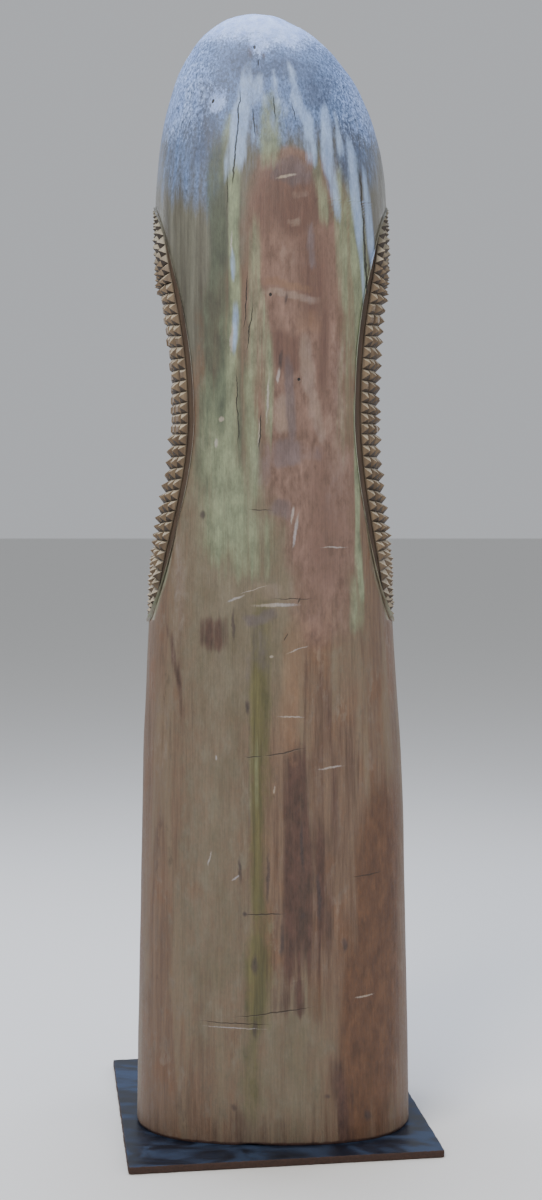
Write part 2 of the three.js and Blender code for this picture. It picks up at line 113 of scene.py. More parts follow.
def through(stations, at):
    """Smooth curve through stations (position, value): cubic Hermite pieces whose slope at a
    station is that of the chord between its neighbours; level beyond the ends."""
    x, y = np.array(stations, float).T
    slope = np.gradient(y, x)
    slope[1:-1] = (y[2:] - y[:-2]) / (x[2:] - x[:-2])
    at = np.clip(at, x[0], x[-1])
    i = np.clip(np.searchsorted(x, at, side="right") - 1, 0, len(x) - 2)
    span = x[i + 1] - x[i]
    t = (at - x[i]) / span
    rise = t * t * (3 - 2 * t)
    ease = (1 - t) * slope[i] - t * slope[i + 1]
    return y[i] * (1 - rise) + y[i + 1] * rise + span * t * (1 - t) * ease


def step(low, high, value):
    """0 below low, 1 above high, and an S-curve 3t^2 - 2t^3 between."""
    t = np.clip((value - low) / (high - low), 0, 1)
    return t * t * (3 - 2 * t)


def noise(points, cell, seed):
    """Value noise from -1 to 1: a random number at each corner of a lattice of cells (x, y, h
    sizes in mm), eased between corners with the same S-curve."""
    table = np.random.default_rng(seed).random(4096)
    at = np.asarray(points) / np.asarray(cell, float)
    corner = np.floor(at).astype(np.int64)
    part = at - corner
    part = part * part * (3 - 2 * part)
    total = 0
    for offset in itertools.product((0, 1), repeat=3):
        near = corner + offset
        key = near[..., 0] * 73856093 ^ near[..., 1] * 19349663 ^ near[..., 2] * 83492791
        weight = np.prod(np.where(offset, part, 1 - part), axis=-1)
        total = total + weight * table[key & 4095]
    return total * 2 - 1


def dome(h):
    """How far the dome has closed: the square root of 1 - t^2.5, t from spring line to apex."""
    t = np.clip((h - DOME_START) / (LOG_HEIGHT - DOME_START), 0, 1)
    return np.sqrt(1 - t**DOME_SPRING)


def axis_x(h):
    """The log's axis: its own slight wander, and the dome's lean towards +x."""
    lean = np.clip((h - LEAN_START) / (LOG_HEIGHT - LEAN_START), 0, 1)
    return through(AXIS_X, h) + APEX_LEAN * lean**APEX_LEAN_BEND


def log_widest(h):
    return WIDEST_Y + (APEX_Y - WIDEST_Y) * step(DOME_START, LOG_HEIGHT, h)


def log_back_fullness(h):
    return BACK_FULLNESS + (DOME_FULLNESS - BACK_FULLNESS) * step(DOME_START, LOG_HEIGHT, h)


def superellipse(h, turn, fullness, half, widest, depth):
    """x = A sin(turn)^(2/n) from the axis and y = w + B cos(turn)^(2/n)."""
    s, c = np.sin(turn), np.clip(np.cos(turn), 0, 1)
    x = np.sign(s) * np.abs(s) ** (2 / fullness) * half
    return axis_x(h) + x, widest + c ** (2 / fullness) * depth


def log_back(h, turn):
    """The log behind its widest line."""
    half = through(HALF_WIDTH, h) * dome(h)
    depth = (through(BACK_Y, h) - WIDEST_Y) * dome(h)
    return superellipse(h, turn, log_back_fullness(h), half, log_widest(h), depth)


def log_front(h, turn, inset=0.0, shrink=1.0):
    """The log in front of its widest line, or a body inside it."""
    half = (through(HALF_WIDTH, h) * dome(h) - inset) * shrink
    depth = ((WIDEST_Y - through(FRONT_Y, h)) * dome(h) - inset) * shrink
    return superellipse(h, turn, FRONT_FULLNESS, half, log_widest(h), -depth)


def field_sizes(h):
    """Half-width, widest line, back depth and front depth of the sunk field. The pinch and the
    dish fall off with the height as exp(-t^3)."""
    pinch, dish = (
        np.exp(-(np.abs((h - FIELD_PINCH_H) / reach) ** 3))
        for reach in (FIELD_PINCH_REACH, FIELD_DISH_REACH)
    )
    half = through(HALF_WIDTH, h) * dome(h) - FIELD_SINK - FIELD_PINCH * pinch
    widest = through(FIELD_WIDEST_Y, h)
    front = WIDEST_Y - (WIDEST_Y - through(FRONT_Y, h)) * dome(h)
    front = front + FIELD_SINK + FIELD_DISH * dish
    return half, widest, FIELD_BACK_DEPTH * dome(h), widest - front


def field_front(h, turn):
    half, widest, _, depth = field_sizes(h)
    return superellipse(h, turn, FRONT_FULLNESS, half, widest, -depth)


def field_rear(h, turn):
    """Behind the field's widest line, an ellipse cut flat where it would pass the panel."""
    half, widest, depth, _ = field_sizes(h)
    y = np.minimum(widest + np.clip(np.cos(turn), 0, 1) * depth, FIELD_BACK_LIMIT)
    return axis_x(h) + np.sin(turn) * half, y


def panel_half(h):
    """Half-width of the back panel: from the waist it opens as a power of the distance."""
    down = np.clip((WAIST_H - h) / (WAIST_H - PANEL_FOOT_H), 0, 1)
    up = np.clip((h - WAIST_H) / (PANEL_TOP_H - WAIST_H), 0, 1)
    below = WAIST_HALF + (PANEL_FOOT_HALF - WAIST_HALF) * down**PANEL_FOOT_FLARE
    above = WAIST_HALF + (PANEL_TOP_HALF - WAIST_HALF) * up**PANEL_TOP_FLARE
    return np.where(h < WAIST_H, below, above)


def on_panel(h):
    return (h > PANEL_FOOT_H) & (h < PANEL_TOP_H)


def arris_turn(h):
    """Turn of the log's back superellipse at the panel's edge; a right angle off the panel."""
    reach = np.minimum(panel_half(h) / (through(HALF_WIDTH, h) * dome(h) + 1e-9), 1)
    turn = np.arcsin(reach ** (log_back_fullness(h) / 2))
    return np.where(on_panel(h), turn, np.pi / 2)


def bed_turn(h):
    """Turn of the field's ellipse under the panel's edge, kept short of its widest line."""
    reach = panel_half(h) / field_sizes(h)[0]
    return np.arcsin(reach / (1 + reach**8) ** 0.125)


# The front half of a row runs from one panel edge (p = -1) to the other (p = 1). Near each end
# lies the side part, which on the field goes round its rear quarter.
SIDE_PART = 0.2
SIDE_TURN = np.radians(8.0)
SIDE_GAP = 0.012
ARCH_FROM = 0.35 * SIDE_PART


def front_turn(s, side_turn):
    return (np.pi / 2 - side_turn) * (1 - np.clip((s - SIDE_PART) / (1 - SIDE_PART), 0, 1))


def arch(s):
    """Share of the arch's rise at part s of the way from the panel's edge to the middle:
    (1 - reach^2.5)^0.53, the reach being how far out on the front superellipse that is."""
    turn = np.pi / 2 * (1 - np.clip((s - ARCH_FROM) / (1 - ARCH_FROM), 0, 1))
    reach = np.sin(turn) ** (2 / FRONT_FULLNESS)
    return (1 - np.clip(reach, 0, 1) ** ARCH_FULLNESS) ** ARCH_CLOSING


def field_ring(h, p):
    """Point of the field at part p of its half round."""
    s = 1 - np.abs(p)
    bed = bed_turn(h)
    rear = bed + (np.pi / 2 - bed) * np.clip(s / SIDE_PART, 0, 1)
    xr, yr = field_rear(h, rear * np.sign(p))
    xf, yf = field_front(h, front_turn(s, 0.0) * np.sign(p))
    return np.where(s < SIDE_PART, xr, xf), np.where(s < SIDE_PART, yr, yf)


def slit_half(h):
    """Half-width of the slit: 32 with round ends cut off at 10, and mirrored beyond the ends."""
    low, high = SLIT_FOOT_H + SLIT_HALF, SLIT_HEAD_H - SLIT_HALF
    into = np.clip(np.maximum(low - h, h - high), 0, 2 * SLIT_HALF)
    into = np.minimum(into, 2 * SLIT_HALF - into)
    round_half = np.sqrt(np.clip(SLIT_HALF**2 - into**2, 0, None))
    return np.maximum(round_half, SLIT_END_HALF)


def log_ring(h, p):
    """Point of the whole log at part p; near the slit the turns are squeezed so that the same
    columns always pass along its lips."""
    s = 1 - np.abs(p)
    side = np.pi / 2 - SIDE_GAP - SIDE_TURN * np.clip(s / SIDE_PART, 0, 1)
    turn = np.where(s < SIDE_PART, side, front_turn(s, SIDE_TURN + SIDE_GAP))
    half = through(HALF_WIDTH, h) * dome(h)
    lip = np.arcsin((slit_half(h) / np.maximum(half, 60)) ** (FRONT_FULLNESS / 2))
    outer = lip + (turn - LIP_TURN) / (np.pi / 2 - LIP_TURN) * (np.pi / 2 - lip)
    low = step(SLIT_FADE_TO, SLIT_FADE_FROM, h)
    squeezed = np.where(turn < LIP_TURN, turn / LIP_TURN * lip, outer)
    return log_front(h, (turn + (squeezed - turn) * low) * np.sign(p))


def face_front(x, h, field_y):
    """The carved face in front of the field: a long egg whose front is a superellipse in each
    row, then nose, brow ridges, eyes with a lid line, and lips, each run into it softly."""
    up = h > FACE_WIDEST_H
    full = np.where(up, FACE_FULLNESS_UP, FACE_FULLNESS_DOWN)
    reach = np.abs(h - FACE_WIDEST_H) / np.where(up, FACE_UP, FACE_DOWN)
    half = FACE_HALF_WIDTH * np.clip(1 - np.minimum(reach, 1) ** full, 1e-4, 1) ** (1 / full)
    x = x - axis_x(h)
    root = field_sizes(h)[1] - field_sizes(h)[3] + FACE_ROOT
    crown = FACE_ROOT + through(FACE_RISE, h)
    out = np.clip(np.abs(x) / half, 0, 1)
    egg = root - crown * (1 - out**FACE_FULLNESS) ** (1 / FACE_FULLNESS)
    rise = np.where((reach < 1) & (out < 1), np.maximum(field_y - egg, 0), 0)
    face = field_y - rise * np.sqrt(1 - out**7) * step(1.0, 0.93, reach)

    # eye hollows under the brow
    for side in (-1, 1):
        hollow = ((x - side * EYE_SPREAD) / HOLLOW_HALF_WIDTH) ** 2
        hollow = hollow + ((h - EYE_H - HOLLOW_LIFT) / HOLLOW_HALF_HEIGHT) ** 2
        face = face + HOLLOW_DEPTH * np.exp(-(hollow**1.6))
    skin = face

    # brow ridges: low round bows over the eyes, thinner to both ends
    for side in (-1, 1):
        part = (x - side * EYE_SPREAD) / BROW_SPAN
        inside = np.clip(1 - part**2, 0, 1)
        bow = BROW_H + BROW_RISE * np.sqrt(inside)
        thick = BROW_RADII[0] + (BROW_RADII[1] - BROW_RADII[0]) * inside
        past_end = np.maximum(np.abs(part) - 0.94, 0) * BROW_SPAN
        away = np.hypot(h - bow, past_end) / (thick * 1.6)
        face = face - thick * np.clip(1 - away**2, 0, 1)

    # nose: a long wedge, round-backed, with a lip of wing at its foot
    t = (h - NOSE_FOOT_H) / (NOSE_TOP_H - NOSE_FOOT_H)
    in_nose = step(-0.035, 0.0, t) * (1 - step(0.93, 1.06, t))
    t = np.clip(t, 0, 1)
    nose_half = NOSE_HALF_WIDTHS[0] + (NOSE_HALF_WIDTHS[1] - NOSE_HALF_WIDTHS[0]) * t
    nose_rise = (NOSE_RISES[0] + (NOSE_RISES[1] - NOSE_RISES[0]) * t) * in_nose
    wing = WING_RISE * np.exp(-(((t - 0.06) / 0.07) ** 2))
    wing = wing * np.exp(-(((np.abs(x) - WING_X) / 9) ** 2))
    across = np.clip(1 - np.abs(x / nose_half) ** 2.6, 0, 1) ** 0.7
    face = np.minimum(face, skin - nose_rise * across - wing * in_nose)

    # eyes: almond swellings with a groove round them and a lid line across
    for side in (-1, 1):
        ex = (x - side * EYE_SPREAD) / EYE_HALF_WIDTH
        ez = (h - EYE_H) / (EYE_HALF_HEIGHT * np.clip(1 - 0.35 * ex**2, 0.3, 1))
        ring = np.sqrt(ex**2 + ez**2)
        face = face - EYE_RISE * np.sqrt(np.clip(1 - ring**2, 0, 1))
        face = face + EYE_GROOVE * np.exp(-(((ring - 1.08) / 0.12) ** 2))
        face = face + LID_LINE * np.exp(-((ez / 0.14) ** 2)) * (np.abs(ex) < 0.9)

    # lips: two long swellings with a groove between
    for lift, width in zip((LIP_LIFT, -LIP_LIFT), LIP_HALF_WIDTHS):
        lip = (x / width) ** 2 + ((h - MOUTH_H - lift) / LIP_HALF_HEIGHT) ** 2
        face = face - LIP_RISE * np.sqrt(np.clip(1 - lip, 0, 1))
    face = face + MOUTH_GROOVE * np.exp(-(((h - MOUTH_H) / 2.6) ** 2)) * (np.abs(x) < 46)
    return np.minimum(face, field_y)


# ---------------------------------------------------------------- meshes


def closed_mesh(name, points, quads, tris, material, sharp=38.0):
    """One closed piece from points in mm and faces by corner number, its faces turned outwards."""
    mesh = bpy.data.meshes.new(name)
    corners = np.concatenate([np.asarray(quads).ravel(), np.asarray(tris).ravel()]).astype(np.int32)
    sizes = np.concatenate([np.full(len(quads), 4), np.full(len(tris), 3)])
    starts = np.concatenate([[0], np.cumsum(sizes)[:-1]]).astype(np.int32)
    placed = np.asarray(points) * MM + np.array([DRUM_X * MM, 0, FOOT_Z * MM])
    mesh.vertices.add(len(placed))
    mesh.vertices.foreach_set("co", placed.astype(np.float32).ravel())
    mesh.loops.add(len(corners))
    mesh.loops.foreach_set("vertex_index", corners)
    mesh.polygons.add(len(sizes))
    mesh.polygons.foreach_set("loop_start", starts)
    mesh.update(calc_edges=True)
    mesh.validate()
    work = bmesh.new()
    work.from_mesh(mesh)
    bmesh.ops.recalc_face_normals(work, faces=work.faces)
    work.to_mesh(mesh)
    work.free()
    mesh.polygons.foreach_set("use_smooth", np.ones(len(mesh.polygons), bool))
    mesh.set_sharp_from_angle(angle=np.radians(sharp))
    mesh.materials.append(material)
    piece = bpy.data.objects.new(name, mesh)
    bpy.context.collection.objects.link(piece)
    return piece


def ring_quads(rows, columns, first=0, keep=None, closed=False):
    """Quads between neighbouring rows of closed rings, and from the last row to the first where
    those close too; keep marks those that stay."""
    r, c = np.meshgrid(np.arange(rows - 1 + closed), np.arange(columns), indexing="ij")
    after = (c + 1) % columns
    low, high = r * columns, (r + 1) % rows * columns
    quads = np.stack([low + c, low + after, high + after, high + c], -1).reshape(-1, 4) + first
    return quads if keep is None else quads[keep.ravel()]


def fan(ring, centre):
    """Triangles from a closed ring to a centre."""
    return np.stack([ring, np.roll(ring, -1), np.full(len(ring), centre)], -1)


def spaced(low, high, pitch):
    """Evenly spaced values from low to high, about a pitch apart."""
    return np.linspace(low, high, max(int(round((high - low) / pitch)), 1) + 1)


# Heights between which the front's rows bend from level to the arches and back.
CHIN_BEND_H, CHIN_CALM_H, BROW_CALM_H, BROW_BEND_H = 690.0, 990.0, 1370.0, 1700.0

# Rows: nominal heights, which the rear columns keep. The row pairs at the panel's foot and top
# are the step from the log's skin down to the field.
BODY_ROWS = np.concatenate([
    [0, 2.5, 6], spaced(11, SLIT_FOOT_H - SLIT_HALF - 1, 5.6),
    spaced(SLIT_FOOT_H - SLIT_HALF, SLIT_FOOT_H + SLIT_HALF, 4.0)[1:],
    spaced(SLIT_FOOT_H + SLIT_HALF, SLIT_HEAD_H - SLIT_HALF, 5.6)[1:],
    spaced(SLIT_HEAD_H - SLIT_HALF, SLIT_HEAD_H + SLIT_HALF, 4.0)[1:],
    spaced(SLIT_HEAD_H + SLIT_HALF, PANEL_FOOT_H, 5.2)[1:],
])
HEAD_ROWS = np.concatenate([
    spaced(PANEL_FOOT_H + 2, CHIN_CALM_H, 3.3), spaced(CHIN_CALM_H, 1300, 3.6)[1:],
    spaced(1300, PANEL_TOP_H - 2, 4.4)[1:],
])
DOME_TURNS = np.linspace(0.55, np.radians(89.2), 34)
DOME_ROWS = np.concatenate([
    spaced(PANEL_TOP_H, 1640, 4.8),
    DOME_START + (LOG_HEIGHT - DOME_START) * np.sin(DOME_TURNS[2:]) ** 0.8,
])
ROWS = np.concatenate([BODY_ROWS, HEAD_ROWS, DOME_ROWS])
SLIT_ROWS = [int(np.argmin(np.abs(ROWS - level))) for level in (SLIT_FOOT_H, SLIT_HEAD_H)]

# Columns across the rear, closer together at the panel's edges, and round the front, closer
# together at the slit and face.
REAR_COLUMNS = 90
LIP_COLUMN = 7
REAR = np.sin(np.linspace(-1, 1, REAR_COLUMNS) * 1.16) / np.sin(1.16)
CENTRE_X = np.concatenate([
    np.linspace(0, SLIT_HALF, LIP_COLUMN + 1), spaced(SLIT_HALF, 132, 4.7)[1:],
])
CENTRE_TURNS = np.arcsin((CENTRE_X / 200.0) ** (FRONT_FULLNESS / 2))
LIP_TURN = CENTRE_TURNS[LIP_COLUMN]
CENTRE_S = 1 - CENTRE_TURNS / (np.pi / 2) * (1 - SIDE_PART)
FLANK_S = np.linspace(SIDE_PART, CENTRE_S[-1], 15)
SIDE_S = np.linspace(0, SIDE_PART, 10)
HALF_S = np.concatenate([SIDE_S, FLANK_S[1:], CENTRE_S[::-1][1:]])
FRONT_P = np.concatenate([-(1 - HALF_S), (1 - HALF_S)[::-1][1:]])
CENTRE_COLUMN = REAR_COLUMNS + len(HALF_S) - 1
IN_REAR = np.arange(REAR_COLUMNS + len(FRONT_P)) < REAR_COLUMNS
ROOM_LIP = 9


def log_grid():
    """The skin of the log as rows of closed rings, (rows, columns, 3), with which of its points
    lie on the sunk field. The rear part of a ring is the back panel; the front part is the field
    between the two arches and the log elsewhere. Between the rows' key levels the front's
    heights are stretched so that a pair of rows follows each arch."""
    rows = ROWS[:, None]
    turn = -arris_turn(rows) * REAR[None, :]
    rear_h = np.broadcast_to(rows, turn.shape)
    rear_x, rear_y = log_back(rear_h, turn)

    p = np.broadcast_to(FRONT_P[None, :], (len(ROWS), len(FRONT_P)))
    s = 1 - np.abs(p)
    chin = PANEL_FOOT_H - CHIN_ARCH_DROP * arch(s)
    brow = PANEL_TOP_H + BROW_ARCH_RISE * arch(s)
    below, inside = ROWS[:, None] < PANEL_FOOT_H + 1, ROWS[:, None] < PANEL_TOP_H - 1
    t = np.clip((rows - CHIN_BEND_H) / (PANEL_FOOT_H - CHIN_BEND_H), 0, 1)
    low_h = np.where(rows < CHIN_BEND_H, rows, CHIN_BEND_H + (chin - CHIN_BEND_H) * t)
    t = np.clip((rows - (PANEL_FOOT_H + 2)) / (CHIN_CALM_H - PANEL_FOOT_H - 2), 0, 1)
    chin_h = chin + (CHIN_CALM_H - chin) * t
    t = np.clip((rows - BROW_CALM_H) / (PANEL_TOP_H - 2 - BROW_CALM_H), 0, 1)
    brow_h = np.where(rows > BROW_CALM_H, BROW_CALM_H + (brow - BROW_CALM_H) * t, rows)
    mid_h = np.where(rows < CHIN_CALM_H, chin_h, brow_h)
    t = np.clip((rows - PANEL_TOP_H) / (BROW_BEND_H - PANEL_TOP_H), 0, 1)
    high_h = np.where(rows > BROW_BEND_H, rows, brow + (BROW_BEND_H - brow) * t)
    front_h = np.where(below, low_h, np.where(inside, mid_h, high_h))

    log_x, log_y = log_ring(front_h, p)
    bed_x, bed_y = field_ring(front_h, p)
    centre = np.abs(bed_x - axis_x(front_h)) < 150
    carved = np.where(centre & (bed_y < 0), face_front(bed_x, front_h, bed_y), bed_y)
    sunk = np.broadcast_to(inside & ~below, p.shape)
    front_x = np.where(sunk, bed_x, log_x)
    front_y = np.where(sunk, carved, log_y)
    grid = np.stack([
        np.concatenate([rear_x, front_x], 1),
        np.concatenate([rear_y, front_y], 1),
        np.concatenate([rear_h, front_h], 1),
    ], -1)
    field = np.concatenate([np.zeros(turn.shape, bool), sunk], 1)
    return grid, field


def normals_of(grid):
    """Unit normals of a grid of closed rings, from the differences to the neighbouring points."""
    along = np.roll(grid, -1, 1) - np.roll(grid, 1, 1)
    up = np.gradient(grid, axis=0)
    normal = np.cross(along, up)
    return normal / (np.linalg.norm(normal, axis=-1, keepdims=True) + 1e-9)


def from_arris(x, h):
    """How far sideways a point is from the back panel's edge."""
    return np.abs(np.abs(x - axis_x(h)) - panel_half(h))


def facets(grid, depth, cell, seed):
    """Shallow tool cuts, from 0 to twice a depth."""
    return depth * (1 + noise(grid, cell, seed))


# The worn arris: its depth and reach, and what its lower ends have more of both.
ARRIS_DEPTH, ARRIS_REACH, LOW_DEPTH, LOW_REACH = 1.6, 7.0, 4.5, 9.0
LIP_WEAR, LIP_WEAR_REACH, FOOT_WEAR, FOOT_WEAR_H = 3.0, 6.0, 2.0, 4.0
CHIP_X, CHIP_REACH, CHIP_RISES = 34.0, 16.0, (2.5, 1.5)


def worn_log(grid, field):
    """The log's skin pushed in along its normals: long shallow tool facets, a softened arris that
    is worn most at its lower ends, rounded slit lips and foot, and a shallow chip at the foot."""
    x, y, h = grid[..., 0], grid[..., 1], grid[..., 2]
    depth = facets(grid, 1.1, (34, 60, 190), 11) + facets(grid, 0.5, (15, 30, 70), 12)
    depth = depth + facets(grid, 0.45, (9, 9, 12), 13) * step(1480, 1600, h)
    depth = np.where(field, facets(grid, 0.35, (12, 12, 16), 14), depth)
    low = step(1010, 900, h) * step(790, 850, h)
    reach = ARRIS_REACH + LOW_REACH * low
    bevel = (ARRIS_DEPTH + LOW_DEPTH * low) * np.clip(1 - from_arris(x, h) / reach, 0, 1) ** 2
    depth = depth + np.where(IN_REAR & on_panel(h), bevel, 0)
    lip = np.abs(np.abs(x - axis_x(h)) - slit_half(h))
    at_slit = (y < -100) & (h > SLIT_FOOT_H - 8) & (h < SLIT_HEAD_H + 8)
    depth = depth + np.where(at_slit, LIP_WEAR * np.exp(-((lip / LIP_WEAR_REACH) ** 2)), 0)
    depth = depth + FOOT_WEAR * np.clip(1 - h / FOOT_WEAR_H, 0, 1) ** 2
    worn = grid - normals_of(grid) * depth[..., None]
    worn[..., 2] = np.where(h < 1, h, worn[..., 2])
    chip = np.exp(-(((x - CHIP_X) / CHIP_REACH) ** 4)) * step(150, 180, y)
    for row, rise in enumerate(CHIP_RISES):
        worn[row, :, 2] += rise * chip[row]
    return worn


def chamber_rings(heights):
    """The chamber: the log shrunk by the wall, and closing at both ends by the share
    0.35 + 0.65 sqrt(1 - |t|^4). Its front columns keep in line with the slit's lips."""
    middle, reach = (CHAMBER_FOOT_H + CHAMBER_HEAD_H) / 2, (CHAMBER_HEAD_H - CHAMBER_FOOT_H) / 2
    t = np.clip(np.abs((heights - middle) / reach), 0, 1)[:, None]
    shrink = CHAMBER_END_SHARE + (1 - CHAMBER_END_SHARE) * np.sqrt(1 - t**4)
    h = heights[:, None]
    half = (through(HALF_WIDTH, h) - WALL) * shrink
    lip = np.arcsin(np.minimum(slit_half(h) / half, 0.95) ** (FRONT_FULLNESS / 2))
    lips = np.linspace(-1, 1, 2 * LIP_COLUMN + 1)[None, :] * lip
    sides = np.linspace(0, 1, ROOM_LIP + 1)[1:][None, :]
    right = lip + (np.pi / 2 - lip) * sides
    front = np.concatenate([-right[:, ::-1], lips, right], 1)
    fx, fy = log_front(h, front, WALL, shrink)
    back = np.linspace(np.pi / 2, -np.pi / 2, 22)[None, 1:-1]
    n = BACK_FULLNESS
    depth = (through(BACK_Y, h) - WIDEST_Y - WALL) * shrink
    bx = axis_x(h) + np.sign(np.sin(back)) * np.abs(np.sin(back)) ** (2 / n) * half
    by = WIDEST_Y + np.cos(back) ** (2 / n) * depth
    ring_x, ring_y = np.concatenate([fx, bx], 1), np.concatenate([fy, by], 1)
    grid = np.stack([ring_x, ring_y, np.broadcast_to(h, ring_x.shape)], -1)
    rough = 1.6 * noise(grid, (16, 16, 40), 21) + 1.2 * noise(grid, (40, 40, 70), 22)
    return grid + np.stack([rough, rough * 0.6, np.zeros_like(rough)], -1)


def lip_loop(start, width, left, row_from, row_to):
    """Corner numbers round the slit's opening in a grid that starts at a number and has rows of
    a width: along its foot, up one lip, back along its head and down the other lip."""
    across = np.arange(left, left + 2 * LIP_COLUMN)
    up = np.arange(row_from, row_to)
    return start + np.concatenate([
        row_from * width + across,
        up * width + left + 2 * LIP_COLUMN,
        row_to * width + across[::-1] + 1,
        up[::-1] * width + width + left,
    ])


def log_mesh():
    """Every point and face of the carved log: skin, foot, chamber, and the slit's walls between
    the skin and the chamber."""
    grid, field = log_grid()
    skin = worn_log(grid, field)
    rows, columns = skin.shape[:2]
    first, last = SLIT_ROWS
    keep = np.ones((rows - 1, columns), bool)
    keep[first:last, CENTRE_COLUMN - LIP_COLUMN:CENTRE_COLUMN + LIP_COLUMN] = False
    points, quads, tris = [skin.reshape(-1, 3)], [ring_quads(rows, columns, 0, keep)], []
    count = rows * columns

    # the top
    top = skin[-1].mean(0)
    top[2] = LOG_HEIGHT - 1.5
    points.append(top[None])
    tris.append(fan(np.arange((rows - 1) * columns, rows * columns), count))
    count += 1

    # the flat foot
    foot = skin[0]
    middle = foot.mean(0)
    middle[2] = 0
    inner = np.stack([middle + (foot - middle) * part for part in (0.97, 0.85, 0.6, 0.3)])
    inner[..., 2] = 0
    points.append(inner.reshape(-1, 3))
    starts = np.concatenate([[0], count + np.arange(len(inner)) * columns])
    c = np.arange(columns)
    after = (c + 1) % columns
    for a, b in zip(starts[:-1], starts[1:]):
        quads.append(np.stack([a + c, b + c, b + after, a + after], -1))
    count += len(inner) * columns
    points.append(middle[None])
    tris.append(fan(np.arange(starts[-1], starts[-1] + columns), count)[:, ::-1])
    count += 1

    # the chamber, whose rows pass the slit at the heights of the skin's rows
    turns = np.linspace(0, np.pi / 2, 7)
    below = SLIT_FOOT_H - (SLIT_FOOT_H - CHAMBER_FOOT_H) * np.sin(turns[:0:-1])
    above = SLIT_HEAD_H + (CHAMBER_HEAD_H - SLIT_HEAD_H) * np.sin(turns[1:])
    heights = np.concatenate([below, ROWS[first:last + 1], above])
    room = chamber_rings(heights)
    room_rows, room_columns = room.shape[:2]
    room_first, room_last = len(below), len(below) + last - first
    keep = np.ones((room_rows - 1, room_columns), bool)
    keep[room_first:room_last, ROOM_LIP:ROOM_LIP + 2 * LIP_COLUMN] = False
    points.append(room.reshape(-1, 3))
    quads.append(ring_quads(room_rows, room_columns, count, keep)[:, ::-1])
    base = count
    count += room_rows * room_columns
    for row, turned in ((0, 1), (room_rows - 1, -1)):
        points.append(room[row].mean(0)[None])
        tris.append(fan(base + np.arange(room_columns) + row * room_columns, count)[:, ::turned])
        count += 1

    # the slit's walls
    outer = lip_loop(0, columns, CENTRE_COLUMN - LIP_COLUMN, first, last)
    inside = lip_loop(base, room_columns, ROOM_LIP, room_first, room_last)
    everything = np.concatenate(points)
    depths = np.array([0.04, 0.12, 0.3, 0.5, 0.7, 0.88])[:, None, None]
    wall = everything[outer][None] * (1 - depths) + everything[inside][None] * depths
    points.append(wall.reshape(-1, 3))
    between = count + np.arange(wall[..., 0].size).reshape(wall.shape[:2])
    loops = np.concatenate([outer[None], between, inside[None]])
    a, b = loops[:-1], loops[1:]
    quads.append(np.stack([a, np.roll(a, -1, 1), np.roll(b, -1, 1), b], -1).reshape(-1, 4))
    return np.concatenate(points), np.concatenate(quads), np.concatenate(tris), grid, field


# ---------------------------------------------------------------- the stud band


def unrolled_half(h):
    """The field's half section from the middle of the front to the middle of the back, as points
    and running lengths, for an array of heights."""
    turns = np.linspace(0, np.pi / 2, 70)
    h = np.asarray(h, float)[..., None]
    fx, fy = field_front(h, np.broadcast_to(turns, h.shape[:-1] + turns.shape))
    bx, by = field_rear(h, np.broadcast_to(turns[::-1], h.shape[:-1] + turns.shape))
    x, y = np.concatenate([fx, bx[..., 1:]], -1), np.concatenate([fy, by[..., 1:]], -1)
    points = np.stack([x, y], -1)
    steps = np.linalg.norm(np.diff(points, axis=-2), axis=-1)
    return points, np.concatenate([np.zeros(h.shape), np.cumsum(steps, -1)], -1)


def field_point(s, h):
    """Point of the field at signed length s from the middle of the front."""
    points, lengths = unrolled_half(h)
    away = np.minimum(np.abs(s), lengths[..., -1] - 1e-3)
    i = (lengths[..., 1:-1] <= away[..., None]).sum(-1)
    near, far = (np.take_along_axis(lengths, i[..., None] + k, -1)[..., 0] for k in (0, 1))
    t = ((away - near) / np.maximum(far - near, 1e-6))[..., None]
    at = i[..., None, None]
    a, b = (np.take_along_axis(points, at + k, -2)[..., 0, :] for k in (0, 1))
    flat = a * (1 - t) + b * t
    x = np.where(s < 0, 2 * axis_x(h) - flat[..., 0], flat[..., 0])
    return np.stack([x, flat[..., 1], np.broadcast_to(h, x.shape)], -1)


def lifted(s, h, lift):
    """The same point raised along the field's normal."""
    reach = 4.0
    along = field_point(s + reach, h) - field_point(s - reach, h)
    up = field_point(s, h + reach) - field_point(s, h - reach)
    normal = np.cross(along, up)
    normal = normal / np.linalg.norm(normal, axis=-1, keepdims=True)
    return field_point(s, h) + normal * np.asarray(lift)[..., None]


def unrolled(x, y, h):
    """The unrolled place (running length, height) of points of the field's half section."""
    points, lengths = unrolled_half(h)
    near = np.argmin(np.hypot(points[..., 0] - x[:, None], points[..., 1] - y[:, None]), -1)
    return np.stack([np.take_along_axis(lengths, near[:, None], -1)[:, 0], h], -1)


def resampled(path, count):
    """A path's points spaced evenly along it, and its length."""
    run = np.concatenate([[0], np.cumsum(np.linalg.norm(np.diff(path, axis=0), axis=1))])
    at = np.linspace(0, run[-1], count)
    return np.stack([np.interp(at, run, path[:, k]) for k in (0, 1)], -1), run[-1]


EDGE_POINTS, EDGE_SPARE, EDGE_MEAN = 500, 79, 33


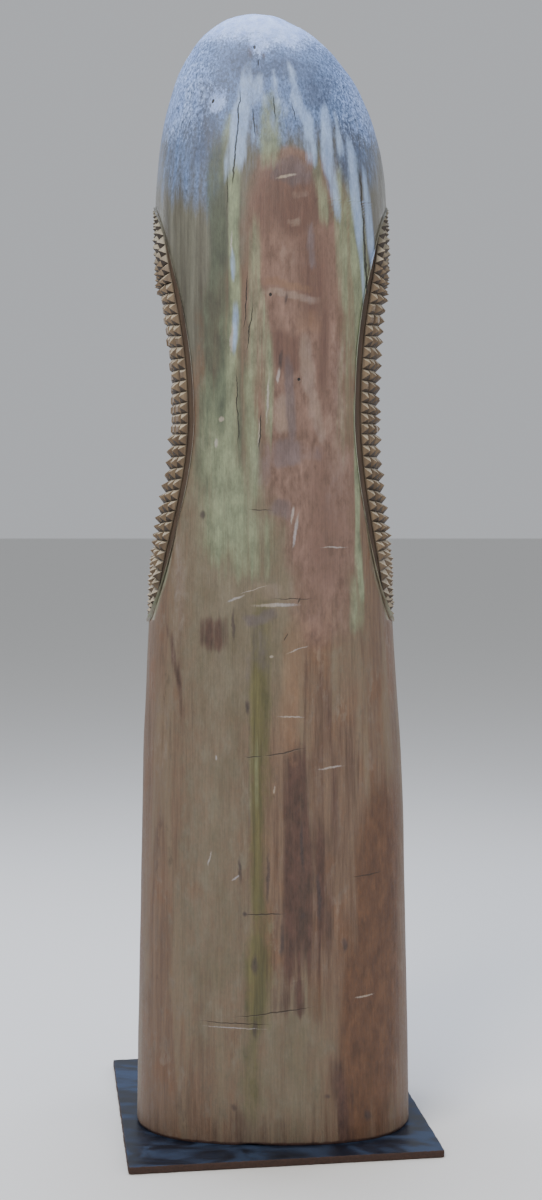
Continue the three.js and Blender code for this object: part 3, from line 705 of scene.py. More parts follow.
def field_edge():
    """The field's edge in the unrolled plane, from under the chin, up the side and over the
    brow, resampled evenly after its corners are rounded by a running mean."""
    s = np.linspace(1, SIDE_PART * 0.5, 60)
    chin_h = PANEL_FOOT_H - CHIN_ARCH_DROP * arch(s)
    brow_h = PANEL_TOP_H + BROW_ARCH_RISE * arch(s)
    side_h = np.linspace(PANEL_FOOT_H + 6, PANEL_TOP_H - 6, 120)
    chin = unrolled(*field_ring(chin_h, 1 - s), chin_h)
    brow = unrolled(*field_ring(brow_h, 1 - s), brow_h)
    side = unrolled(*field_rear(side_h, bed_turn(side_h)), side_h)
    path, _ = resampled(np.concatenate([chin, side, brow[::-1]]), EDGE_POINTS)
    mirror = (path * [-1, 1])[::-1]
    whole = np.concatenate([mirror[-EDGE_SPARE - 1:-1], path, mirror[1:EDGE_SPARE + 1]])
    kernel = np.hanning(EDGE_MEAN)
    kernel /= kernel.sum()
    soft = np.stack([np.convolve(whole[:, k], kernel, mode="same") for k in (0, 1)], -1)
    soft = soft[EDGE_SPARE:EDGE_SPARE + EDGE_POINTS]
    soft[0, 0] = soft[-1, 0] = 0
    _, length = resampled(soft, 2)
    return resampled(soft, int(round(length / STUD_PITCH)) + 1)[0]


def stud_band_mesh():
    """A closed strip of four-sided studs. Each stud is a 4 x 4 patch that rises evenly from its
    four sides to its tip, by the level 2 min(u, 1 - u, v, 1 - v); the same level carries the
    tip's own shift, so its facets stay flat. Some studs have lost their points."""
    half = field_edge()
    before = np.concatenate([[half[1] * [-1, 1]], half[:-1]])
    after = np.concatenate([half[1:], [half[-2] * [-1, 1]]])
    along = after - before
    along /= np.linalg.norm(along, axis=1, keepdims=True)
    inward = np.stack([-along[:, 1], along[:, 0]], -1)
    ring = np.concatenate([half, (half * [-1, 1])[1:-1][::-1]])
    into = np.concatenate([inward, (inward * [-1, 1])[1:-1][::-1]])
    count = len(ring)

    # each stud's height, how much of it is left, and its tip's shift
    random = np.random.default_rng(5)
    shape = (count, STUD_COLUMNS)
    height = STUD_HEIGHT * (1 + 0.1 * random.standard_normal(shape).clip(-2, 1.5))
    cap = np.where(random.random(shape) < 0.04, random.uniform(0.35, 0.7, shape), 1.0)
    middle_h = ring[:, 1, None]
    on_left, nth = ring[:, 0, None] > 0, np.arange(STUD_COLUMNS)
    worn = on_left & (middle_h > 1110) & (middle_h < 1340) & (nth >= 2)
    cap = np.where(worn, random.uniform(0.2, 0.45, shape), cap)
    lost = on_left & (middle_h > 1120) & (middle_h < 1165) & (nth == 1)
    cap = np.where(lost, 0.3, cap)
    tip = random.uniform(-0.1, 0.1, (*shape, 2))

    # the patches, each with the same number of cuts along its sides
    sub = 4
    r = np.arange(count * sub)
    c = np.arange(STUD_COLUMNS * sub + 1)
    at = r / sub
    low = np.floor(at).astype(int)
    t = (at - low)[:, None]
    base = ring[low % count] * (1 - t) + ring[(low + 1) % count] * t
    wall = into[low % count] * (1 - t) + into[(low + 1) % count] * t
    column = np.minimum(c // sub, STUD_COLUMNS - 1)
    u = (at - low)[:, None] * np.ones(len(c))
    v = (c / sub - column)[None, :] * np.ones((len(r), 1))
    which = (low[:, None] % count, column[None, :])
    level = 2 * np.minimum(np.minimum(u, 1 - u), np.minimum(v, 1 - v))
    slope = np.minimum(level, cap[which])
    flat = base[:, None] + wall[:, None] * (BAND_MARGIN + c[None, :, None] / sub * STUD_PITCH)
    direction = np.stack([wall[:, 1], -wall[:, 0]], -1)[:, None]
    shift = tip[which] * (level * STUD_PITCH)[..., None]
    flat = flat + shift[..., :1] * direction + shift[..., 1:] * wall[:, None]
    chipped = 0.22 * random.standard_normal(level.shape) * (level > 0)
    top = lifted(flat[..., 0], flat[..., 1], STUD_ROOT + height[which] * slope + chipped)

    # the hidden bed, and triangles whose diagonals run to the tips
    ends = flat[:, ::len(c) - 1]
    bed = lifted(ends[..., 0], ends[..., 1], np.full(ends.shape[:2], -STUD_BED))
    grid = np.concatenate([top, bed[:, ::-1]], 1)
    rows, columns = grid.shape[:2]
    corners = ring_quads(rows, columns, closed=True)
    in_row, in_column = (np.arange(size) for size in (rows, columns))
    crossed = (in_row % sub < sub / 2)[:, None] ^ (in_column % sub < sub / 2)
    crossed = (crossed & (in_column < columns - 3)).ravel()
    plain, other = corners[~crossed], corners[crossed]
    tris = np.concatenate([
        plain[:, [0, 1, 2]], plain[:, [0, 2, 3]], other[:, [0, 1, 3]], other[:, [1, 2, 3]],
    ])
    return grid.reshape(-1, 3), tris, level


# ---------------------------------------------------------------- the plate


# Rings of the plate, from under its middle round its bevelled edge to the middle of its top:
# level, reach as a share of the half side, rust.
PLATE_RINGS = [
    (0, 0.6, 0), (0, 0.992, 0.8), (1.2, 0.9996, 1), (4.5, 1.0, 1), (8.0, 1.0, 1),
    (10.9, 0.9998, 0.9), (12, 0.9962, 0.42), (12, 0.985, 0.05), (12, 0.93, 0), (12, 0.6, 0),
    (12, 0.3, 0),
]


def plate_mesh():
    """The plate: its square outline, with small cut corners and a rough edge, as rings closed in
    the middle of both faces."""
    half = PLATE_SIDE / 2
    t = np.linspace(-1, 1, 90, endpoint=False)
    one = np.ones_like(t)
    square = np.concatenate([
        np.stack(pair, -1) for pair in ((one, t), (-t, one), (-one, -t), (t, -one))
    ]) * half
    corner = np.abs(square).min(1) > half - 4
    square = np.where(corner[:, None], square * 0.9965, square)
    levels, reach, rust = np.array(PLATE_RINGS).T
    grid = np.zeros((len(levels), len(square), 3))
    grid[..., :2] = square[None] * reach[:, None, None]
    grid[..., 2] = levels[:, None]
    rough = 0.9 * noise(grid, (9, 9, 6), 31) + 0.5 * noise(grid, (3.5, 3.5, 4), 32)
    shrink = 1 - (reach > 0.99)[:, None] * (0.7 + rough * 0.7) / half
    grid[..., :2] *= shrink[..., None]
    c, s = np.cos(PLATE_TURN), np.sin(PLATE_TURN)
    x, y = grid[..., 0] * c - grid[..., 1] * s, grid[..., 0] * s + grid[..., 1] * c
    grid = np.stack([x - DRUM_X, y, grid[..., 2] - FOOT_Z], -1)
    rows, columns = grid.shape[:2]
    quads = ring_quads(rows, columns)
    count = rows * columns
    middles = [[-DRUM_X, 0, -FOOT_Z], [-DRUM_X, 0, PLATE_THICKNESS - FOOT_Z]]
    points = np.concatenate([grid.reshape(-1, 3), middles])
    tris = np.concatenate([
        fan(np.arange(columns), count)[:, ::-1], fan(np.arange(count - columns, count), count + 1),
    ])
    return points, quads, tris, np.concatenate([np.repeat(rust, columns), [0, 0]])


# ---------------------------------------------------------------- materials


def linear(code):
    """sRGB hex to a linear colour."""
    parts = np.array([int(code[i:i + 2], 16) for i in (1, 3, 5)]) / 255
    parts = np.where(parts <= 0.04045, parts / 12.92, ((parts + 0.055) / 1.055) ** 2.4)
    return (*parts.tolist(), 1.0)


def add(tree, kind, inputs=(), out=0, **settings):
    """Adds one node and gives its output by name or number. Settings go on the node, and inputs
    by name or number are linked if they are sockets."""
    made = tree.nodes.new("ShaderNode" + kind)
    for name, value in settings.items():
        setattr(made, name, value)
    for name, value in dict(inputs).items():
        if isinstance(value, bpy.types.NodeSocket):
            tree.links.new(value, made.inputs[name])
        else:
            made.inputs[name].default_value = value
    return made.outputs[out]


def calc(tree, operation, *values):
    """One Math node on sockets or numbers."""
    return add(tree, "Math", dict(enumerate(values)), operation=operation)


def ramp(tree, value, low, high, least=0.0, most=1.0, shape="LINEAR"):
    """Takes low..high to least..most and stays within them."""
    ends = {0: value, 1: low, 2: high, 3: least, 4: most}
    return add(tree, "MapRange", ends, interpolation_type=shape)


def blend(tree, share, first, second):
    """Mixes two colours, each a socket or a hex code."""
    first, second = (linear(c) if isinstance(c, str) else c for c in (first, second))
    return add(tree, "Mix", {0: share, 6: first, 7: second}, data_type="RGBA", out=2)


def finish_of(name, roughness, metallic=0.0):
    """An empty node material with its Principled shader."""
    material = bpy.data.materials.new(name)
    material.use_nodes = True
    tree = material.node_tree
    shader = tree.nodes["Principled BSDF"]
    shader.inputs["Roughness"].default_value = roughness
    shader.inputs["Metallic"].default_value = metallic
    return material, tree, shader


def patterns(tree, table):
    """Noise textures on Object coordinates, each from its cell size in mm across and along."""
    place = add(tree, "TexCoord", out="Object")
    made = {}
    for name, (across, along, detail, rough) in table.items():
        stretched = add(tree, "Mapping", {
            "Vector": place, "Scale": (1 / (across * MM), 1 / (across * MM), 1 / (along * MM)),
        })
        made[name] = add(tree, "TexNoise", {
            "Vector": stretched, "Scale": 1.0, "Detail": detail, "Roughness": rough,
        }, out="Fac")
    return place, made


MARKS_Y, MARKS_DEEP = 170.0, 200.0


def marks_field(tree, place, marks):
    """Distance field of thin marks on the back, 0 along a mark and 1 at its outline. A mark is
    (x, h, half-length, half-width, degrees that its top leans towards -x): space is moved,
    turned and scaled so that its oval becomes a unit ball, and the least length is kept."""
    least = None
    for x, h, length, width, lean in marks:
        local = add(tree, "Mapping", {
            "Vector": place,
            "Location": ((x + DRUM_X) * MM, MARKS_Y * MM, (h + FOOT_Z) * MM),
            "Rotation": (0, -np.radians(lean), 0),
            "Scale": (width * MM, MARKS_DEEP * MM, length * MM),
        }, vector_type="TEXTURE")
        reach = add(tree, "VectorMath", {0: local}, operation="LENGTH", out="Value")
        least = reach if least is None else calc(tree, "MINIMUM", least, reach)
    return least


def wood_colour(tree, grain, base, layers):
    """Layers laid over each other. Each is (mask, or the name of its share on the mesh, the noise
    that breaks its outline, how strongly, from, to, its most share, two tones, the noise that
    mixes the tones). A share is read just before its use, so that few values are held at once."""
    colour = base
    for mask, breaker, push, low, high, most, tone_a, tone_b, mixer in layers:
        if isinstance(mask, str):
            mask = add(tree, "Attribute", attribute_name=mask, out="Fac")
        broken = calc(tree, "MULTIPLY_ADD", grain[breaker], push, mask)
        share = ramp(tree, broken, low + push / 2, high + push / 2, 0.0, most, "SMOOTHSTEP")
        tone = blend(tree, ramp(tree, grain[mixer], 0.34, 0.66), tone_a, tone_b)
        colour = blend(tree, share, colour, tone)
    return colour


# Thin marks on the back: x, h, half-length, half-width, lean. The checks, kerfs and holes are
# coloured dark as painted shade in their cracks, cuts and hollows.
CHECKS = [
    (54, 1612, 54, 1.3, 3), (59, 1545, 44, 1.4, 4), (30, 1606, 26, 1.1, -6),
    (-2, 1627, 24, 0.9, -8), (-137, 1500, 40, 1.3, -4), (-142, 1420, 62, 1.9, -3),
    (-146, 1370, 34, 1.4, -2), (42, 1330, 52, 0.9, 3), (36, 1290, 40, 1.0, 8),
    (20, 1130, 36, 1.2, 4), (55, 1165, 66, 1.0, -1), (-32, 1620, 18, 0.8, -12),
    (70, 1500, 30, 0.7, 2),
]
HOLES = [
    (93, 1641, 4, 2.2, 20), (29, 1729, 4, 2.4, 0), (23, 1702, 6, 1.2, 0), (-40, 1210, 2.6, 2.6, 0),
    (4, 1340, 3, 2.4, 0),
]
KERFS = [
    (32, 622, 15, 0.9, 88), (-18, 629, 34, 1.3, 79), (-30, 870, 34, 0.8, 90),
    (14, 372, 36, 1.2, 89), (60, 197, 60, 1.0, 91), (-2, 215, 66, 1.3, 82),
    (-150, 430, 26, 1.2, 86), (-20, 810, 8, 0.8, 30), (20, 1008, 20, 1.0, 92),
    (-40, 868, 6, 1.4, 20),
]
PALE_CUTS = [
    (58, 870, 18, 2.4, 66), (30, 884, 28, 0.9, 74), (-38, 790, 24, 1.2, 70),
    (-28, 685, 26, 1.8, 92), (60, 190, 60, 1.2, 91), (-90, 604, 26, 2.0, 84),
    (-35, 975, 34, 3.4, 8), (-30, 1000, 18, 2.6, 6), (2, 780, 5, 3, 90), (-2, 570, 8, 2.6, 10),
    (-5, 860, 44, 4, 88), (-146, 236, 20, 2.2, 84), (8, 1180, 50, 2.2, 3), (22, 1125, 30, 1.8, 1),
    (80, 1150, 6, 5, 0), (-8, 1216, 16, 3.4, 8), (88, 1112, 9, 3, 0), (64, 1272, 30, 3, 2),
    (64, 1420, 20, 2, 0), (-20, 1520, 3, 20, -12), (-96, 950, 26, 1.6, 90), (90, 620, 5, 2, 0),
    (100, 460, 16, 1.8, 10), (60, 430, 10, 2, 60),
]
SPOTS = [
    (36, 1722, 7, 18, 84), (14, 1714, 5, 8, 90), (62, 828, 34, 4, 0), (28, 292, 8, 24, 90),
    (28, 190, 6, 22, 90), (44, 372, 6, 6, 0), (-48, 370, 8, 7, 0), (-114, 320, 16, 6, 0),
    (-86, 78, 6, 7, 0), (62, 62, 9, 7, 0), (-150, 42, 14, 8, -20), (-72, 400, 56, 5, -2),
    (-14, 330, 40, 5, 0), (-20, 1335, 16, 3, 0), (110, 1000, 10, 6, 0), (-46, 480, 60, 4, -3),
    (52, 440, 30, 4, 0), (40, 700, 16, 5, 0), (8, 430, 60, 4, 0), (-12, 1240, 20, 5, 0),
]


def weathered_log():
    """Tropical hardwood, hewn, then stood outdoors: silvered and algae-stained above, brown
    below. The fibre pattern gives the eye its upright grain, the flecks its raised, washed-out
    pores, and the layers its years of rain. Some layers are painted light and shade: a cool
    skylight tint and a highlight on the dome, a highlight along the arris, dark cracks, cuts and
    holes, and a shadow line at the foot."""
    material, tree, shader = finish_of("weathered_hardwood", 0.62)
    place, grain = patterns(tree, {
        "fibre": (1.6, 50, 3, 0.6),      # vessels are about 0.3 mm wide; drawn coarser to show
        "streak": (6, 130, 5, 0.62),
        "board": (34, 420, 3, 0.55),
        "fleck": (3.4, 7, 5, 0.7),
        "blotch": (15, 36, 5, 0.66),
        "cloud": (42, 75, 5, 0.62),
        "drip": (11, 260, 4, 0.6),
    })
    wander = add(tree, "TexNoise", {"Vector": place, "Scale": 55.0, "Detail": 3.0}, out="Color")
    shift = add(tree, "VectorMath", {0: wander, 1: (0.5, 0.5, 0.5)}, operation="SUBTRACT")
    wavy = {0: shift, 1: (0.008, 0, 0.006), 2: place}
    bent = add(tree, "VectorMath", wavy, operation="MULTIPLY_ADD")

    mark = {}
    for name, table, soft in (
        ("checks", CHECKS, 0.6), ("holes", HOLES, 0.5), ("kerfs", KERFS, 0.6),
        ("cuts", PALE_CUTS, 0.8), ("spots", SPOTS, 0.9),
    ):
        reach = marks_field(tree, place if name == "holes" else bent, table)
        mark[name] = ramp(tree, reach, 1.0 + soft / 2, 1.0 - soft, shape="SMOOTHSTEP")

    base = blend(tree, ramp(tree, grain["streak"], 0.3, 0.7), "#5c4839", "#715c4b")
    colour = wood_colour(tree, grain, base, [
        (0.0, "cloud", 1.0, 0.0, 0.16, 0.6, "#5e4330", "#74553f", "streak"),
        (0.0, "board", 1.0, 0.0, 0.14, 0.5, "#7a6c58", "#6d6653", "streak"),
        (0.0, "drip", 1.0, 0.04, 0.2, 0.38, "#47362b", "#584337", "blotch"),
        (0.0, "blotch", 1.0, 0.0, 0.16, 0.55, "#49372b", "#7c7064", "cloud"),
        ("dull", "blotch", 0.9, 0.2, 0.9, 0.75, "#5d5845", "#6f6959", "cloud"),
        ("amber", "drip", 1.2, 0.2, 0.9, 0.95, "#482f20", "#63442e", "blotch"),
        # The red layer is real red staining, and along the foot row a painted contact shadow.
        ("red", "drip", 1.6, 0.2, 0.9, 0.9, "#33221c", "#533930", "blotch"),
        ("silver", "blotch", 0.9, 0.15, 0.8, 0.85, "#3d3f37", "#64665b", "drip"),
        # The sky layer is grey weathered wood with a painted cool skylight tint over the dome's
        # top.
        ("sky", "drip", 1.1, 0.2, 0.9, 1.0, "#394a66", "#6983b2", "fleck"),
        ("dusk", "blotch", 1.2, 0.2, 0.9, 0.75, "#303b54", "#465169", "fleck"),
        # Painted highlight: a pale blue band round the dome's top, where the light from above
        # falls.
        ("painted_rim_highlight", "fleck", 1.6, 0.3, 0.9, 0.8, "#7b96d0", "#a9c2f0", "blotch"),
        ("heart", "cloud", 0.9, 0.2, 0.75, 0.95, "#5d473d", "#81665b", "blotch"),
        ("rosy", "blotch", 1.4, 0.25, 0.9, 0.8, "#46302a", "#60453b", "drip"),
        ("orange", "blotch", 1.4, 0.3, 1.0, 0.5, "#765843", "#85674e", "cloud"),
        ("pale", "blotch", 1.3, 0.25, 0.95, 0.55, "#8c7a6b", "#857672", "cloud"),
        ("olive", "blotch", 0.9, 0.2, 0.85, 0.85, "#3c3b1e", "#656039", "drip"),
        ("plum", "blotch", 1.2, 0.25, 0.9, 0.65, "#4a4042", "#6a6064", "cloud"),
        ("lime", "drip", 1.2, 0.2, 0.85, 0.8, "#626d57", "#8a9576", "blotch"),
        ("moss", "drip", 1.3, 0.2, 0.9, 0.8, "#363d33", "#4d5645", "blotch"),
        ("runs", "drip", 1.2, 0.25, 0.95, 0.8, "#7f97bf", "#97aed0", "blotch"),
        (mark["spots"], "blotch", 0.9, 0.3, 1.1, 0.8, "#2c2424", "#443736", "fleck"),
        ("sheltered", "streak", 0.3, 0.4, 0.6, 1.0, "#35291f", "#4f3f31", "streak"),
        (mark["cuts"], "fleck", 0.9, 0.3, 1.0, 0.6, "#a89a86", "#a3a3ac", "cloud"),
        # Pale band along the panel's arris: partly wear, partly painted highlight where the edge
        # turns to the light.
        ("wear_and_edge_highlight", "drip", 0.9, 0.25, 0.9, 0.8, "#98a189", "#a39d92", "board"),
        # Checks, kerfs and holes: dark colour as painted shade in the cracks, cuts and hollows.
        (mark["checks"], "fleck", 0.4, 0.3, 0.8, 0.95, "#1a1a16", "#2a2921", "cloud"),
        (mark["kerfs"], "fleck", 0.7, 0.3, 0.9, 0.85, "#241b14", "#33281d", "cloud"),
        (mark["holes"], "fleck", 0.1, 0.3, 0.6, 1.0, "#070605", "#0c0a08", "cloud"),
    ])
    lines = ramp(tree, grain["fibre"], 0.32, 0.7, 0.87, 1.09)
    speck = ramp(tree, grain["fleck"], 0.3, 0.7, 0.86, 1.12)
    shade = calc(tree, "MULTIPLY", lines, speck)
    colour = add(tree, "VectorMath", {0: colour, 3: shade}, operation="SCALE")
    tree.links.new(colour, shader.inputs["Base Color"])

    rough = ramp(tree, grain["fleck"], 0.3, 0.7, 0.46, 0.74)
    tree.links.new(rough, shader.inputs["Roughness"])
    height = calc(tree, "MULTIPLY_ADD", grain["fibre"], 0.5, grain["streak"])
    height = calc(tree, "MULTIPLY_ADD", grain["fleck"], 0.9, height)
    sunk = calc(tree, "ADD", mark["checks"], mark["kerfs"])
    sunk = calc(tree, "ADD", sunk, mark["holes"])
    height = calc(tree, "MULTIPLY_ADD", sunk, -1.8, height)
    bump = add(tree, "Bump", {"Height": height, "Strength": 0.5, "Distance": 0.0011})
    tree.links.new(bump, shader.inputs["Normal"])
    return material


def carved_studs():
    """The same wood where it was cut later and sheltered: fresher brown, its upward facets lighter
    (partly rain bleaching, partly painted light) and its downward facets darker as painted shade
    (partly unbleached patina), with grooves darkened as painted shade and rubbed tips."""
    material, tree, shader = finish_of("carved_hardwood_studs", 0.6)
    _, grain = patterns(tree, {
        "fibre": (1.4, 30, 3, 0.6), "streak": (8, 90, 3, 0.5), "cloud": (60, 90, 3, 0.5),
    })
    level = add(tree, "Attribute", attribute_name="level", out="Fac")
    high = add(tree, "Attribute", attribute_name="silver", out="Fac")
    facing = add(tree, "NewGeometry", out="Normal")
    upward = add(tree, "SeparateXYZ", {0: facing}, out="Z")
    # Facets facing up are lightened, partly rain bleaching and partly painted light; facets facing
    # down are darkened as painted shade, partly unbleached patina.
    bleached_and_lit_top = ramp(tree, upward, 0.2, 0.55)
    under = ramp(tree, upward, -0.2, -0.55)
    base = blend(tree, ramp(tree, grain["streak"], 0.35, 0.65), "#594836", "#75634c")
    colour = wood_colour(tree, grain, base, [
        (bleached_and_lit_top, "cloud", 0.4, 0.2, 0.8, 0.9, "#9c907c", "#b5a992", "streak"),
        (high, "cloud", 0.8, 0.3, 1.0, 0.7, "#7c7c6e", "#8f9085", "streak"),
        (under, "cloud", 0.4, 0.2, 0.8, 0.9, "#281d15", "#392c20", "streak"),
    ])
    # The grooves between the studs are darkened to 0.35 as painted shade.
    groove_shade = ramp(tree, level, 0.0, 0.2, 0.35, 1.0)
    rub = ramp(tree, level, 0.75, 1.0, 1.0, 1.3)
    lines = ramp(tree, grain["fibre"], 0.35, 0.66, 0.84, 1.12)
    shade = calc(tree, "MULTIPLY", groove_shade, rub)
    shade = calc(tree, "MULTIPLY", shade, lines)
    colour = add(tree, "VectorMath", {0: colour, 3: shade}, operation="SCALE")
    tree.links.new(colour, shader.inputs["Base Color"])
    bump = add(tree, "Bump", {"Height": grain["fibre"], "Strength": 0.4, "Distance": 0.0006})
    tree.links.new(bump, shader.inputs["Normal"])
    return material


def waxed_steel():
    """Hot-rolled mild steel plate, blackened and waxed: dark blue-grey, clouded lighter blue where
    the wax is wiped, which is partly painted sky reflection, with rust along its rough flame-cut
    edge."""
    material, tree, shader = finish_of("blackened_mild_steel", 0.42, metallic=0.4)
    place, grain = patterns(tree, {
        "cloud": (90, 90, 4, 0.6), "grit": (3, 3, 3, 0.6), "rust": (7, 7, 4, 0.65),
    })
    wiped = add(tree, "Mapping", {"Vector": place, "Rotation": (0, 0, 0.5), "Scale": (9, 17, 14)})
    wiped = add(tree, "TexNoise", {
        "Vector": wiped, "Scale": 1.0, "Detail": 5.0, "Distortion": 1.4,
    }, out="Fac")
    wax_smudge_and_reflection = ramp(tree, wiped, 0.4, 0.66, shape="SMOOTHSTEP")
    edge = add(tree, "Attribute", attribute_name="rust", out="Fac")
    push = calc(tree, "MULTIPLY_ADD", grain["rust"], 0.8, edge)
    rusty = ramp(tree, push, 0.72, 1.0, shape="SMOOTHSTEP")
    # The lighter blue clouds are partly wax smudges, partly painted sky reflection.
    steel = blend(tree, wax_smudge_and_reflection, "#151d2c", "#34435c")
    brown = blend(tree, grain["grit"], "#17110f", "#4a3228")
    colour = blend(tree, rusty, steel, brown)
    tree.links.new(colour, shader.inputs["Base Color"])
    metal = ramp(tree, rusty, 0.0, 1.0, 0.4, 0.0)
    tree.links.new(metal, shader.inputs["Metallic"])
    smooth = ramp(tree, wax_smudge_and_reflection, 0.0, 1.0, 0.3, 0.52)
    rough = add(tree, "Mix", {0: rusty, 2: smooth, 3: 0.9})
    tree.links.new(rough, shader.inputs["Roughness"])
    height = calc(tree, "MULTIPLY", grain["rust"], rusty)
    height = calc(tree, "MULTIPLY_ADD", grain["cloud"], 0.3, height)
    bump = add(tree, "Bump", {"Height": height, "Strength": 0.5, "Distance": 0.0016})
    tree.links.new(bump, shader.inputs["Normal"])
    return material


